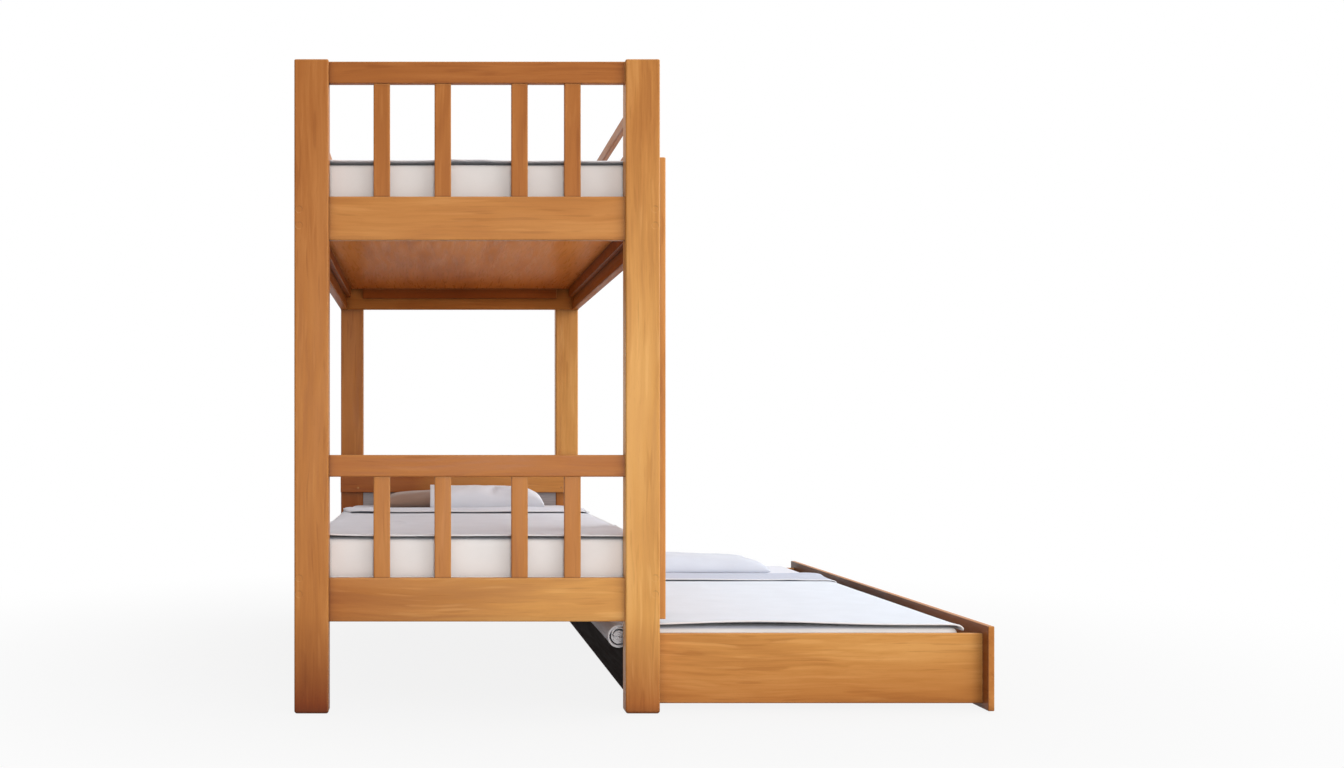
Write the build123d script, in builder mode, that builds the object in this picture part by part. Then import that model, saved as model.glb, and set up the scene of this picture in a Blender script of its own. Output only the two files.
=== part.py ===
from build123d import *
from math import cos, radians, sin
import os

os.makedirs("parts", exist_ok=True)

# The frame: the origin lies on the floor below the middle of the bed with its trundle drawn out.
# X runs from the bed towards the drawn-out trundle, Y from the foot end to the head end, Z up.
# A size named drop runs from the tops of the posts down to the top of the piece that it places.

# Mattresses, which set the size of the bed around them
mattress_width = 900
mattress_length = 1900
mattress_thick = 120
mattress_side_gap = 23
mattress_end_gap = 22
mattress_corner = 40
mattress_edge = 20

# Posts
post_width = 94
post_depth = 56
post_height = 1790
post_edge = 5
post_top_edge = 4
post_foot_edge = 8

# Rails and boards of the bunk frame
foot_rail_thick = 22
foot_rail_recess = 16
head_board_thick = 22
side_rail_thick = 27
board_edge = 3
upper_rail_drop = 373
upper_rail_height = 120
lower_foot_rail_bottom = 250
lower_foot_rail_height = 120
lower_side_rail_bottom = 299
lower_side_rail_height = 100
lower_head_rail_height = 120
top_rail_height = 60
upper_top_rail_drop = 2.5
lower_top_rail_bottom = 647.5
head_top_rail_drop = 30
head_top_rail_gap = 1
headboard_bottom = 528
headboard_height = 144
head_panel_thick = 8
head_panel_lap = 12
head_panel_gap = 0.5

# Mortise and tenon joints
tenon_length = 30
tenon_thick = 12
tenon_shoulder = 8
fit_gap = 0.2

# Slats, at shares of the width between the posts, from its middle
slat_width = 45.5
slat_thick = 14
slat_edge = 2.5
slat_tenon_length = 12
slat_tenon_shoulder = 4
slat_place_shares = (-0.3218, -0.1153, 0.1445, 0.3237)

# Cleats and decks, which carry the mattresses
cleat_width = 20
cleat_height = 40
cleat_edge = 2
cleat_setback = 60
upper_cleat_rise = 45
lower_cleat_rise = 3
deck_thick = 15
deck_gap = 1

# Guard rails of the upper bunk
guard_bar_thick = 18
guard_bar_height = 35
guard_bar_edge = 4
guard_stub = 8
guard_stile_thick = 18
guard_stile_width = 44
guard_dowel_radius = 5
guard_dowel_length = 30
guard_lower_bar_drop = 170
right_guard_drop = 49
left_guard_drop = 70
ladder_opening = 394
right_stile_share = 0.51
left_stile_shares = (0.333, 0.667)

# Ladder
ladder_width = 400
ladder_setback = 8
ladder_stile_thick = 27
ladder_stile_width = 60
ladder_drop = 255
ladder_tail = 48
ladder_edge = 5
rung_count = 5
first_rung_height = 330
top_rung_depth = 225
rung_thick = 22
rung_height = 45
rung_tenon_length = 14
rung_tenon_shoulder = 5

# Connector bolts of the side rails, with their barrel nuts and plugs
bolt_radius = 4
bolt_head_radius = 8
bolt_head_height = 5
bolt_pitch = 44
bolt_reach = 60
socket_radius = 3
socket_depth = 3
plug_thick = 8
plug_gap = 0.05
nut_radius = 7
nut_length = 20
nut_setback = 45

# Bolts of the ladder
ladder_bolt_reach = 20

# Countersunk wood screws
screw_radius = 2
screw_head_radius = 4.2
screw_head_height = 3
screw_length = 32
screw_inset = 20

# Trundle
trundle_board_thick = 18
trundle_post_gap = 6
trundle_back_inset = 64
trundle_panel_bottom = 17
trundle_panel_height = 194
trundle_front_bottom = 2.5
trundle_front_height = 233.5
trundle_front_inset = 26
trundle_deck_bottom = 100
trundle_deck_thick = 14
bearer_width = 40
bearer_height = 40
bearer_inset = 168
corner_block_width = 30

# Trundle mattress
trundle_mattress_thick = 110
trundle_mattress_back_gap = 4
trundle_mattress_front_gap = 48
trundle_mattress_end_gap = 10

# Fixed casters
wheel_radius = 25
wheel_width = 18
wheel_edge = 3
wheel_hub_radius = 8
wheel_rim_thick = 6
wheel_recess = 5
wheel_running_gap = 0.05
wheel_side_gap = 0.4
axle_radius = 4
axle_head_radius = 6
axle_head_height = 2
fork_thick = 3
fork_plate_length = 60
fork_plate_width = 38
fork_leg_width = 36
fork_eye_radius = 9
caster_inset = 110
caster_screw_radius = 2
caster_screw_head_radius = 3.6
caster_screw_head_height = 1.8
caster_screw_length = 20
caster_screw_inset = 6

# Bedding
soft_gap = 0.3
blanket_thick = 10
blanket_edge = 4
hem_reach = 3
blanket_side_inset = 2
upper_pillow_distance = 212
lower_pillow_distance = 21
trundle_pillow_distance = 87
turned_length = 190
overhang_clearance = 14
overhang_turn_radius = 32
overhang_fall = 26
overhang_foot_gap = 24
pillow_corner_share = 0.09
pillow_draw_share = 0.035
pillow_section_count = 12
pillow_bottom_angle = -55
pillow_top_angle = 84
pillow_roundness = 0.65
lower_front_pillow_width = 430
lower_front_pillow_depth = 225
lower_front_pillow_height = 98
lower_front_pillow_offset = 87
lower_back_pillow_width = 520
lower_back_pillow_depth = 340
lower_back_pillow_height = 68
lower_back_pillow_offset = -70
upper_pillow_width = 600
upper_pillow_depth = 380
upper_pillow_height = 95
trundle_pillow_width = 560
trundle_pillow_depth = 430
trundle_pillow_height = 68
trundle_pillow_offset = 22
pillow_head_gap = 8
pillow_gap = 6

# Cuts run this far past the faces that they open
overrun = 1


def middle(span):
    """The middle of a low and high end."""
    return (span[0] + span[1]) / 2


def length(span):
    """The distance from a low to a high end."""
    return span[1] - span[0]


def above(low, size):
    """The low and high end of a piece of this size that starts at low."""
    return low, low + size


def below(high, size):
    """The low and high end of a piece of this size that ends at high."""
    return high - size, high


def about(centre, size):
    """The low and high end of a piece of this size about a centre."""
    return centre - size / 2, centre + size / 2


def grown(span, gap):
    """The same stretch with a gap added at each end, for the hole that a piece fits."""
    return span[0] - gap, span[1] + gap


def end_stretches(span, size):
    """The two stretches of this size at the ends of a longer one."""
    return (span[0], span[0] + size), (span[1] - size, span[1])


# Where things stand: overall sizes and shared faces
left, right = -1, 1
sides = (left, right)
bed_width = mattress_width + 2 * (mattress_side_gap + side_rail_thick)
foot_panel_depth = foot_rail_recess + foot_rail_thick
bed_length = foot_panel_depth + mattress_length + 2 * mattress_end_gap + head_board_thick + post_depth
trundle_inner_width = trundle_mattress_back_gap + mattress_width + trundle_mattress_front_gap
trundle_width = trundle_inner_width + 2 * trundle_board_thick
front_reach = bed_width / 2 - trundle_back_inset + trundle_width
bed_x = (bed_width / 2 - front_reach) / 2
between_posts = bed_width - 2 * post_width

foot_y = -bed_length / 2
head_y = bed_length / 2
foot_post_y = above(foot_y, post_depth)
head_post_y = below(head_y, post_depth)
foot_rail_y = above(foot_y + foot_rail_recess, foot_rail_thick)
head_board_y = below(head_post_y[0], head_board_thick)
side_rail_y = (foot_post_y[1], head_board_y[0])
mattress_y = above(foot_rail_y[1] + mattress_end_gap, mattress_length)

upper_rail_z = below(post_height - upper_rail_drop, upper_rail_height)
lower_foot_rail_z = above(lower_foot_rail_bottom, lower_foot_rail_height)
lower_side_rail_z = above(lower_side_rail_bottom, lower_side_rail_height)
lower_head_rail_z = below(lower_side_rail_z[1], lower_head_rail_height)
upper_top_rail_z = below(post_height - upper_top_rail_drop, top_rail_height)
lower_top_rail_z = above(lower_top_rail_bottom, top_rail_height)
head_top_rail_z = below(post_height - head_top_rail_drop, top_rail_height)
headboard_z = above(headboard_bottom, headboard_height)
upper_cleat_z = above(upper_rail_z[0] + upper_cleat_rise, cleat_height)
lower_cleat_z = above(lower_side_rail_z[0] + lower_cleat_rise, cleat_height)
upper_deck_z = above(upper_cleat_z[1], deck_thick)
lower_deck_z = above(lower_cleat_z[1], deck_thick)
upper_mattress_z = above(upper_deck_z[1], mattress_thick)
lower_mattress_z = above(lower_deck_z[1], mattress_thick)

guard_bar_outer = bed_width / 2 - guard_stile_thick
guard_bar_inner = guard_bar_outer - guard_bar_thick
guard_stile_middle = guard_bar_outer + guard_stile_thick / 2
guard_lower_bar_z = below(post_height - guard_lower_bar_drop, guard_bar_height)
right_guard_start = foot_post_y[1] + ladder_opening
ladder_y = above(foot_post_y[1] + ladder_setback, ladder_width)
foot_stile_y = above(ladder_y[0], ladder_stile_width)
head_stile_y = below(ladder_y[1], ladder_stile_width)
ladder_z = (lower_side_rail_z[0] - ladder_tail, post_height - ladder_drop)
ladder_x = above(bed_x + bed_width / 2, ladder_stile_thick)

trundle_back_x = bed_x + bed_width / 2 - trundle_back_inset
trundle_front_x = below(trundle_back_x + trundle_width, trundle_board_thick)
trundle_y = (foot_post_y[1] + trundle_post_gap, head_post_y[0] - trundle_post_gap)
trundle_inner_x = (trundle_back_x + trundle_board_thick, trundle_front_x[0])
trundle_inner_y = grown(trundle_y, -trundle_board_thick)
trundle_panel_z = above(trundle_panel_bottom, trundle_panel_height)
trundle_deck_z = above(trundle_deck_bottom, trundle_deck_thick)
trundle_mattress_x = above(trundle_inner_x[0] + trundle_mattress_back_gap, mattress_width)
trundle_mattress_y = grown(trundle_inner_y, -trundle_mattress_end_gap)
trundle_mattress_z = above(trundle_deck_z[1], trundle_mattress_thick)
bearer_z = below(trundle_deck_z[0], bearer_height)
bearer_places = (trundle_y[0] + bearer_inset, middle(trundle_y), trundle_y[1] - bearer_inset)
caster_places = [
    (x, y)
    for x in (trundle_back_x + caster_inset, trundle_front_x[0] - caster_inset)
    for y in (bearer_places[0], bearer_places[2])
]

x_way, y_way, z_way = (1, 0, 0), (0, 1, 0), (0, 0, 1)
back_y_way, down_way = (0, -1, 0), (0, 0, -1)
on_end = (Align.CENTER, Align.CENTER, Align.MIN)


def side_span(side, inner, outer):
    """The low and high x of a piece that lies inner to outer from the bed's middle, on one side."""
    return tuple(sorted((bed_x + side * inner, bed_x + side * outer)))


def block(x, y, z, mode=Mode.ADD):
    """Add a block between three pairs of faces to the piece being built, or cut it away."""
    with Locations((middle(x), middle(y), middle(z))):
        Box(length(x), length(y), length(z), mode=mode)


def rod(start, way, radius, reach, mode=Mode.ADD):
    """Add a round bar from a point along one way to the piece being built, or drill it away."""
    with Locations(Plane(origin=start, z_dir=way)):
        Cylinder(radius, reach, align=on_end, mode=mode)


def screw(start, way, gap=0, mode=Mode.ADD):
    """Add a countersunk wood screw from its head's face inwards, or cut its hole with a gap."""
    with Locations(Plane(origin=start, z_dir=way)):
        Cone(screw_head_radius + gap, screw_radius + gap, screw_head_height, align=on_end, mode=mode)
        Cylinder(screw_radius + gap, screw_length + gap, align=on_end, mode=mode)


def save(piece, node):
    """Label one finished piece and write it."""
    piece.part.label = node
    export_step(piece.part, f"parts/{node}.step")


# Fasteners: where they stand is shared by the pieces that they pass through

bolt_heights = [
    middle(rail_z) + step * bolt_pitch / 2
    for rail_z in (upper_rail_z, lower_side_rail_z)
    for step in sides
]
counterbore_radius = bolt_head_radius + fit_gap
counterbore_depth = plug_thick + bolt_head_height
ladder_bolt_places = [
    (middle(stile_y), middle(rail_z))
    for stile_y in (foot_stile_y, head_stile_y)
    for rail_z in (upper_rail_z, lower_side_rail_z)
]


def bolt_x(side):
    """The x of the connector bolts on one side, in the middle of the side rails."""
    return bed_x + side * (bed_width / 2 - side_rail_thick / 2)


def bolt_line(side, height, end_y):
    """A connector bolt's start on a post's outer face, its way in, and how far it runs."""
    way = y_way if end_y == foot_y else back_y_way
    rail_end = side_rail_y[0] if end_y == foot_y else side_rail_y[1]
    return (bolt_x(side), end_y, height), way, abs(rail_end - end_y) + bolt_reach


def stepped_in(start, way, distance):
    """The point that lies this far from another along one way."""
    return tuple(place + step * distance for place, step in zip(start, way))


def guard_stile_centres(side):
    """Where the stiles of one guard stand along the bed."""
    if side == right:
        rest = (right_guard_start, head_post_y[0])
        return [right_guard_start + guard_stile_width / 2, rest[0] + right_stile_share * length(rest)]
    return [foot_post_y[1] + share * (head_post_y[0] - foot_post_y[1]) for share in left_stile_shares]


def guard_bars(side):
    """The heights of the two bars of one guard."""
    drop = right_guard_drop if side == right else left_guard_drop
    return [below(post_height - drop, guard_bar_height), guard_lower_bar_z]


def guard_screws(side):
    """Each guard bar is screwed to its stiles from inside the bunk."""
    way = (side, 0, 0)
    for stile_y in guard_stile_centres(side):
        for bar_z in guard_bars(side):
            yield (bed_x + side * guard_bar_inner, stile_y, middle(bar_z)), way


def head_screws():
    """The headboard and the head's top rail are screwed to the head posts from inside."""
    for side in sides:
        for board_z in (headboard_z, head_top_rail_z):
            for height in (board_z[0] + screw_inset, board_z[1] - screw_inset):
                yield (bed_x + side * (between_posts / 2 + screw_inset), head_board_y[0], height), y_way


# Posts

foot_rails_z = (upper_top_rail_z, upper_rail_z, lower_top_rail_z, lower_foot_rail_z)


def make_post(node, side, end_y):
    """One post, with the mortises, pockets and bolt holes of what joins it."""
    post_y = foot_post_y if end_y == foot_y else head_post_y
    with BuildPart() as post:
        with BuildSketch(Plane.XY):
            with Locations((bed_x + side * (bed_width - post_width) / 2, middle(post_y))):
                RectangleRounded(post_width, post_depth, post_edge)
        extrude(amount=post_height)
        fillet(post.faces().sort_by(Axis.Z)[-1].edges(), post_top_edge)
        fillet(post.faces().sort_by(Axis.Z)[0].edges(), post_foot_edge)

        if end_y == foot_y:
            inner = between_posts / 2
            mortise_x = side_span(side, inner - overrun, inner + tenon_length + fit_gap)
            mortise_y = about(middle(foot_rail_y), tenon_thick + 2 * fit_gap)
            for rail_z in foot_rails_z:
                block(mortise_x, mortise_y, grown(rail_z, fit_gap - tenon_shoulder), Mode.SUBTRACT)

        if end_y == head_y or side == left:
            pocket_x = grown(side_span(side, guard_bar_inner, guard_bar_outer), fit_gap)
            face_y = head_post_y[0] if end_y == head_y else foot_post_y[1]
            pocket_y = about(face_y, 2 * (guard_stub + fit_gap))
            for bar_z in guard_bars(side):
                block(pocket_x, pocket_y, grown(bar_z, fit_gap), Mode.SUBTRACT)

        if end_y == head_y:
            for start, way in head_screws():
                screw(start, way, fit_gap, Mode.SUBTRACT)

        for height in bolt_heights:
            start, way, reach = bolt_line(side, height, end_y)
            rod(start, way, bolt_radius + fit_gap, reach, Mode.SUBTRACT)
            rod(start, way, counterbore_radius, counterbore_depth, Mode.SUBTRACT)
    save(post, node)


make_post("post_foot_left", left, foot_y)
make_post("post_foot_right", right, foot_y)
make_post("post_head_left", left, head_y)
make_post("post_head_right", right, head_y)


# Foot end: four rails and two sets of slats

def slat_x(share):
    """The low and high x of the slat at one share of the width between the posts."""
    return about(bed_x + share * between_posts, slat_width)


def slat_tenon(x, y):
    """The smaller section of a slat's tenon inside the slat's own section."""
    return grown(x, -slat_tenon_shoulder), grown(y, -slat_tenon_shoulder)


def cut_slat_mortises(rail_y, face_z):
    """Cut the mortises of all slats into a rail's face at one height."""
    slat_y = about(middle(rail_y), slat_thick)
    for share in slat_place_shares:
        x, y = slat_tenon(slat_x(share), slat_y)
        deep = 2 * (slat_tenon_length + fit_gap)
        block(grown(x, fit_gap), grown(y, fit_gap), about(face_z, deep), Mode.SUBTRACT)


def make_foot_rail(node, rail_z, slat_face_z):
    """A rail between the foot posts, with a tenon at each end and mortises for the slats."""
    with BuildPart() as rail:
        block(about(bed_x, between_posts), foot_rail_y, rail_z)
        fillet(rail.edges().filter_by(Axis.X), board_edge)
        tenon_y = about(middle(foot_rail_y), tenon_thick)
        block(about(bed_x, between_posts + 2 * tenon_length), tenon_y, grown(rail_z, -tenon_shoulder))
        cut_slat_mortises(foot_rail_y, slat_face_z)
    save(rail, node)


def make_slats(node, rail_y, slat_z):
    """The four slats between two rails, with a tenon at each end."""
    slat_y = about(middle(rail_y), slat_thick)
    with BuildPart() as slats:
        for share in slat_place_shares:
            block(slat_x(share), slat_y, slat_z)
        fillet(slats.edges().filter_by(Axis.Z), slat_edge)
        for share in slat_place_shares:
            x, y = slat_tenon(slat_x(share), slat_y)
            block(x, y, grown(slat_z, slat_tenon_length))
    save(slats, node)


make_foot_rail("upper_foot_top_rail", upper_top_rail_z, upper_top_rail_z[0])
make_foot_rail("upper_foot_rail", upper_rail_z, upper_rail_z[1])
make_foot_rail("lower_foot_top_rail", lower_top_rail_z, lower_top_rail_z[0])
make_foot_rail("lower_foot_rail", lower_foot_rail_z, lower_foot_rail_z[1])
make_slats("upper_foot_slats", foot_rail_y, (upper_rail_z[1], upper_top_rail_z[0]))
make_slats("lower_foot_slats", foot_rail_y, (lower_foot_rail_z[1], lower_top_rail_z[0]))
make_slats("upper_head_slats", head_board_y, (upper_rail_z[1], head_top_rail_z[0]))


# Head end: boards lapped across the inner faces of the head posts

def make_head_board(node, board_x, board_z, slat_face_z=None):
    """A board across the head posts, with the holes of the bolts and screws that hold it."""
    with BuildPart() as board:
        block(board_x, head_board_y, board_z)
        fillet(board.edges().filter_by(Axis.X), board_edge)
        if slat_face_z is not None:
            cut_slat_mortises(head_board_y, slat_face_z)
        for start, way in head_screws():
            if board_z[0] < start[2] < board_z[1]:
                screw(start, way, fit_gap, Mode.SUBTRACT)
        for height in bolt_heights:
            if board_z[0] < height < board_z[1]:
                for side in sides:
                    start, way, reach = bolt_line(side, height, head_y)
                    rod(start, way, bolt_radius + fit_gap, reach, Mode.SUBTRACT)
    save(board, node)


full_width_x = about(bed_x, bed_width)
inside_guards_x = about(bed_x, 2 * (guard_bar_inner - head_top_rail_gap))
make_head_board("upper_head_top_rail", inside_guards_x, head_top_rail_z, head_top_rail_z[0])
make_head_board("upper_head_rail", full_width_x, upper_rail_z, upper_rail_z[1])
make_head_board("lower_headboard", full_width_x, headboard_z)
make_head_board("lower_head_rail", full_width_x, lower_head_rail_z)

with BuildPart() as head_panel:
    panel_z = (lower_head_rail_z[1] - head_panel_lap, headboard_z[0] + head_panel_lap)
    block(about(bed_x, between_posts - 2 * head_panel_gap), above(head_board_y[1], head_panel_thick), panel_z)
save(head_panel, "lower_head_panel")


# Side rails

def make_side_rail(node, side, rail_z):
    """A side rail with bolt holes in its ends, barrel nut holes inside, and guard and ladder holes."""
    inner = bed_width / 2 - side_rail_thick
    with BuildPart() as rail:
        block(side_span(side, inner, bed_width / 2), side_rail_y, rail_z)
        fillet(rail.edges().filter_by(Axis.Y), board_edge)
        for height in bolt_heights:
            if rail_z[0] < height < rail_z[1]:
                for end_y in (foot_y, head_y):
                    start, way, reach = bolt_line(side, height, end_y)
                    rod(start, way, bolt_radius + fit_gap, reach + fit_gap, Mode.SUBTRACT)
                for nut_y in (side_rail_y[0] + nut_setback, side_rail_y[1] - nut_setback):
                    start = (bed_x + side * (inner - overrun), nut_y, height)
                    deep = overrun + (side_rail_thick + nut_length) / 2 + fit_gap
                    rod(start, (side, 0, 0), nut_radius + fit_gap, deep, Mode.SUBTRACT)
        if rail_z == upper_rail_z:
            for stile_y in guard_stile_centres(side):
                start = (bed_x + side * guard_stile_middle, stile_y, rail_z[1] + overrun)
                deep = overrun + guard_dowel_length + fit_gap
                rod(start, down_way, guard_dowel_radius + fit_gap, deep, Mode.SUBTRACT)
        if side == right:
            for bolt_y, height in ladder_bolt_places:
                if rail_z[0] < height < rail_z[1]:
                    start = (ladder_x[0] + overrun, bolt_y, height)
                    deep = overrun + ladder_bolt_reach + fit_gap
                    rod(start, (left, 0, 0), bolt_radius + fit_gap, deep, Mode.SUBTRACT)
    save(rail, node)


make_side_rail("upper_side_rail_left", left, upper_rail_z)
make_side_rail("upper_side_rail_right", right, upper_rail_z)
make_side_rail("lower_side_rail_left", left, lower_side_rail_z)
make_side_rail("lower_side_rail_right", right, lower_side_rail_z)


# Cleats and decks

def make_cleats(node, cleat_z):
    """The ledges that carry one deck: one along each side rail and one across each end."""
    rail_face = bed_width / 2 - side_rail_thick
    long_y = (side_rail_y[0] + cleat_setback, side_rail_y[1] - cleat_setback)
    with BuildPart() as cleats:
        for side in sides:
            block(side_span(side, rail_face - cleat_width, rail_face), long_y, cleat_z)
        for end_y in end_stretches((foot_rail_y[1], head_board_y[0]), cleat_width):
            block(about(bed_x, between_posts), end_y, cleat_z)
        fillet(cleats.faces().sort_by(Axis.Z)[:4].edges(), cleat_edge)
    save(cleats, node)


def make_deck(node, deck_z):
    """A deck board that fills the frame, with its foot corners cut out around the posts."""
    wide_x = about(bed_x, bed_width - 2 * (side_rail_thick + deck_gap))
    with BuildPart() as deck:
        block(wide_x, (foot_post_y[1] + deck_gap, head_board_y[0] - deck_gap), deck_z)
        tongue_x = about(bed_x, between_posts - 2 * deck_gap)
        block(tongue_x, (foot_rail_y[1] + deck_gap, foot_post_y[1] + 2 * deck_gap), deck_z)
    save(deck, node)


make_cleats("upper_deck_cleats", upper_cleat_z)
make_cleats("lower_deck_cleats", lower_cleat_z)
make_deck("upper_deck", upper_deck_z)
make_deck("lower_deck", lower_deck_z)


# Guard rails

def make_guard_bars(node, side):
    """The two bars of one guard: the right one starts past the ladder, the left one runs full length."""
    bar_x = side_span(side, guard_bar_inner, guard_bar_outer)
    start_y = right_guard_start if side == right else foot_post_y[1]
    stub_start_y = start_y if side == right else start_y - guard_stub
    with BuildPart() as bars:
        for bar_z in guard_bars(side):
            block(bar_x, (stub_start_y, head_post_y[0] + guard_stub), bar_z)
        fillet(bars.edges().filter_by(Axis.Y), guard_bar_edge)
        for start, way in guard_screws(side):
            screw(start, way, fit_gap, Mode.SUBTRACT)
    save(bars, node)


make_guard_bars("right_guard_bars", right)
make_guard_bars("left_guard_bars", left)

with BuildPart() as guard_stiles:
    for side in sides:
        stile_x = side_span(side, guard_bar_outer, bed_width / 2)
        stile_z = (upper_rail_z[1], guard_bars(side)[0][1])
        for stile_y in guard_stile_centres(side):
            block(stile_x, about(stile_y, guard_stile_width), stile_z)
    fillet(guard_stiles.edges().filter_by(Axis.Z), board_edge)
    for side in sides:
        for stile_y in guard_stile_centres(side):
            start = (bed_x + side * guard_stile_middle, stile_y, upper_rail_z[1])
            rod(start, down_way, guard_dowel_radius, guard_dowel_length)
        for start, way in guard_screws(side):
            screw(start, way, fit_gap, Mode.SUBTRACT)
save(guard_stiles, "guard_stiles")


# Ladder

rung_pitch = (ladder_z[1] - top_rung_depth - first_rung_height) / (rung_count - 1)
rung_heights = [first_rung_height + number * rung_pitch for number in range(rung_count)]
rung_x = about(middle(ladder_x), rung_thick)
rung_y = (foot_stile_y[1], head_stile_y[0])


def rung_tenon(height):
    """The smaller section of a rung's tenons inside the rung's own section."""
    return grown(rung_x, -rung_tenon_shoulder), grown(about(height, rung_height), -rung_tenon_shoulder)


def make_ladder_stile(node, stile_y):
    """One upright of the ladder, with the rungs' mortises and counterbored bolt holes."""
    with BuildPart() as stile:
        block(ladder_x, stile_y, ladder_z)
        fillet(stile.edges().filter_by(Axis.Z), ladder_edge)
        fillet(stile.faces().sort_by(Axis.Z)[-1].edges(), board_edge)
        for height in rung_heights:
            tenon_x, tenon_z = rung_tenon(height)
            deep_y = grown(rung_y, rung_tenon_length + fit_gap)
            block(grown(tenon_x, fit_gap), deep_y, grown(tenon_z, fit_gap), Mode.SUBTRACT)
        for bolt_y, height in ladder_bolt_places:
            start = (ladder_x[1] + overrun, bolt_y, height)
            rod(start, (left, 0, 0), bolt_radius + fit_gap, 2 * overrun + ladder_stile_thick, Mode.SUBTRACT)
            rod(start, (left, 0, 0), counterbore_radius, overrun + bolt_head_height, Mode.SUBTRACT)
    save(stile, node)


make_ladder_stile("ladder_stile_foot", foot_stile_y)
make_ladder_stile("ladder_stile_head", head_stile_y)

with BuildPart() as ladder_rungs:
    for height in rung_heights:
        block(rung_x, rung_y, about(height, rung_height))
    fillet(ladder_rungs.edges().filter_by(Axis.Y), ladder_edge)
    for height in rung_heights:
        tenon_x, tenon_z = rung_tenon(height)
        block(tenon_x, grown(rung_y, rung_tenon_length), tenon_z)
save(ladder_rungs, "ladder_rungs")

with BuildPart() as ladder_bolts:
    for bolt_y, height in ladder_bolt_places:
        start = (ladder_x[1], bolt_y, height)
        rod(start, (left, 0, 0), bolt_head_radius, bolt_head_height)
        rod(start, (left, 0, 0), bolt_radius, ladder_stile_thick + ladder_bolt_reach)
        rod(start, (left, 0, 0), socket_radius, socket_depth, Mode.SUBTRACT)
save(ladder_bolts, "ladder_bolts")


# Connector bolts, barrel nuts and plugs of the side rails

all_bolt_lines = [
    bolt_line(side, height, end_y)
    for side in sides
    for height in bolt_heights
    for end_y in (foot_y, head_y)
]

with BuildPart() as rail_bolts:
    for start, way, reach in all_bolt_lines:
        seat = stepped_in(start, way, plug_thick)
        rod(seat, way, bolt_head_radius, bolt_head_height)
        rod(seat, way, bolt_radius, reach - plug_thick)
        rod(seat, way, socket_radius, socket_depth, Mode.SUBTRACT)
save(rail_bolts, "rail_bolts")

with BuildPart() as bolt_plugs:
    for start, way, reach in all_bolt_lines:
        rod(start, way, counterbore_radius - plug_gap, plug_thick)
save(bolt_plugs, "bolt_plugs")

with BuildPart() as barrel_nuts:
    for side in sides:
        for height in bolt_heights:
            for nut_y in (side_rail_y[0] + nut_setback, side_rail_y[1] - nut_setback):
                start = (bolt_x(side) - side * nut_length / 2, nut_y, height)
                rod(start, (side, 0, 0), nut_radius, nut_length)
    for start, way, reach in all_bolt_lines:
        rod(start, way, bolt_radius + fit_gap, reach + nut_radius, Mode.SUBTRACT)
save(barrel_nuts, "barrel_nuts")

with BuildPart() as wood_screws:
    for start, way in [*guard_screws(left), *guard_screws(right), *head_screws()]:
        screw(start, way)
save(wood_screws, "wood_screws")


# Trundle box

def make_trundle_panel(node, x, y, z):
    """One upright board of the trundle box, with its top and bottom edges rounded."""
    with BuildPart() as panel:
        block(x, y, z)
        long_way = Axis.X if length(x) > length(y) else Axis.Y
        fillet(panel.edges().filter_by(long_way), board_edge)
    save(panel, node)


foot_board_y = above(trundle_y[0], trundle_board_thick)
head_end_board_y = below(trundle_y[1], trundle_board_thick)
back_board_x = above(trundle_back_x, trundle_board_thick)
front_board_y = (foot_y + trundle_front_inset, head_y - trundle_front_inset)
front_board_z = above(trundle_front_bottom, trundle_front_height)
make_trundle_panel("trundle_front_panel", trundle_front_x, front_board_y, front_board_z)
make_trundle_panel("trundle_foot_panel", trundle_inner_x, foot_board_y, trundle_panel_z)
make_trundle_panel("trundle_head_panel", trundle_inner_x, head_end_board_y, trundle_panel_z)
make_trundle_panel("trundle_back_panel", back_board_x, trundle_y, trundle_panel_z)

with BuildPart() as trundle_deck:
    block(trundle_inner_x, trundle_inner_y, trundle_deck_z)
save(trundle_deck, "trundle_deck")

with BuildPart() as corner_blocks:
    for block_x in end_stretches(trundle_inner_x, corner_block_width):
        for block_y in end_stretches(trundle_inner_y, corner_block_width):
            block(block_x, block_y, (trundle_panel_z[0], trundle_deck_z[0]))
save(corner_blocks, "trundle_corner_blocks")


# Bearers under the deck, and the fixed casters that they stand on

fork_inner_width = wheel_width + 2 * wheel_side_gap
fork_outer_width = fork_inner_width + 2 * fork_thick
plate_z = below(bearer_z[0], fork_thick)
caster_screw_places = [
    (screw_x, screw_y)
    for x, y in caster_places
    for screw_x in about(x, fork_plate_length - 2 * caster_screw_inset)
    for screw_y in about(y, fork_plate_width - 2 * caster_screw_inset)
]


def caster_screw(x, y, gap=0, mode=Mode.ADD):
    """Add a caster's plate screw, or cut its hole with a gap."""
    start = (x, y, plate_z[0] - caster_screw_head_height)
    rod(start, z_way, caster_screw_radius + gap, caster_screw_length + gap, mode)
    if mode == Mode.ADD:
        rod(start, z_way, caster_screw_head_radius, caster_screw_head_height)


with BuildPart() as trundle_bearers:
    for bearer_y in bearer_places:
        block(trundle_inner_x, about(bearer_y, bearer_width), bearer_z)
    fillet(trundle_bearers.edges().filter_by(Axis.X).group_by(Axis.Z)[0], board_edge)
    for x, y in caster_screw_places:
        caster_screw(x, y, fit_gap, Mode.SUBTRACT)
save(trundle_bearers, "trundle_bearers")

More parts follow.
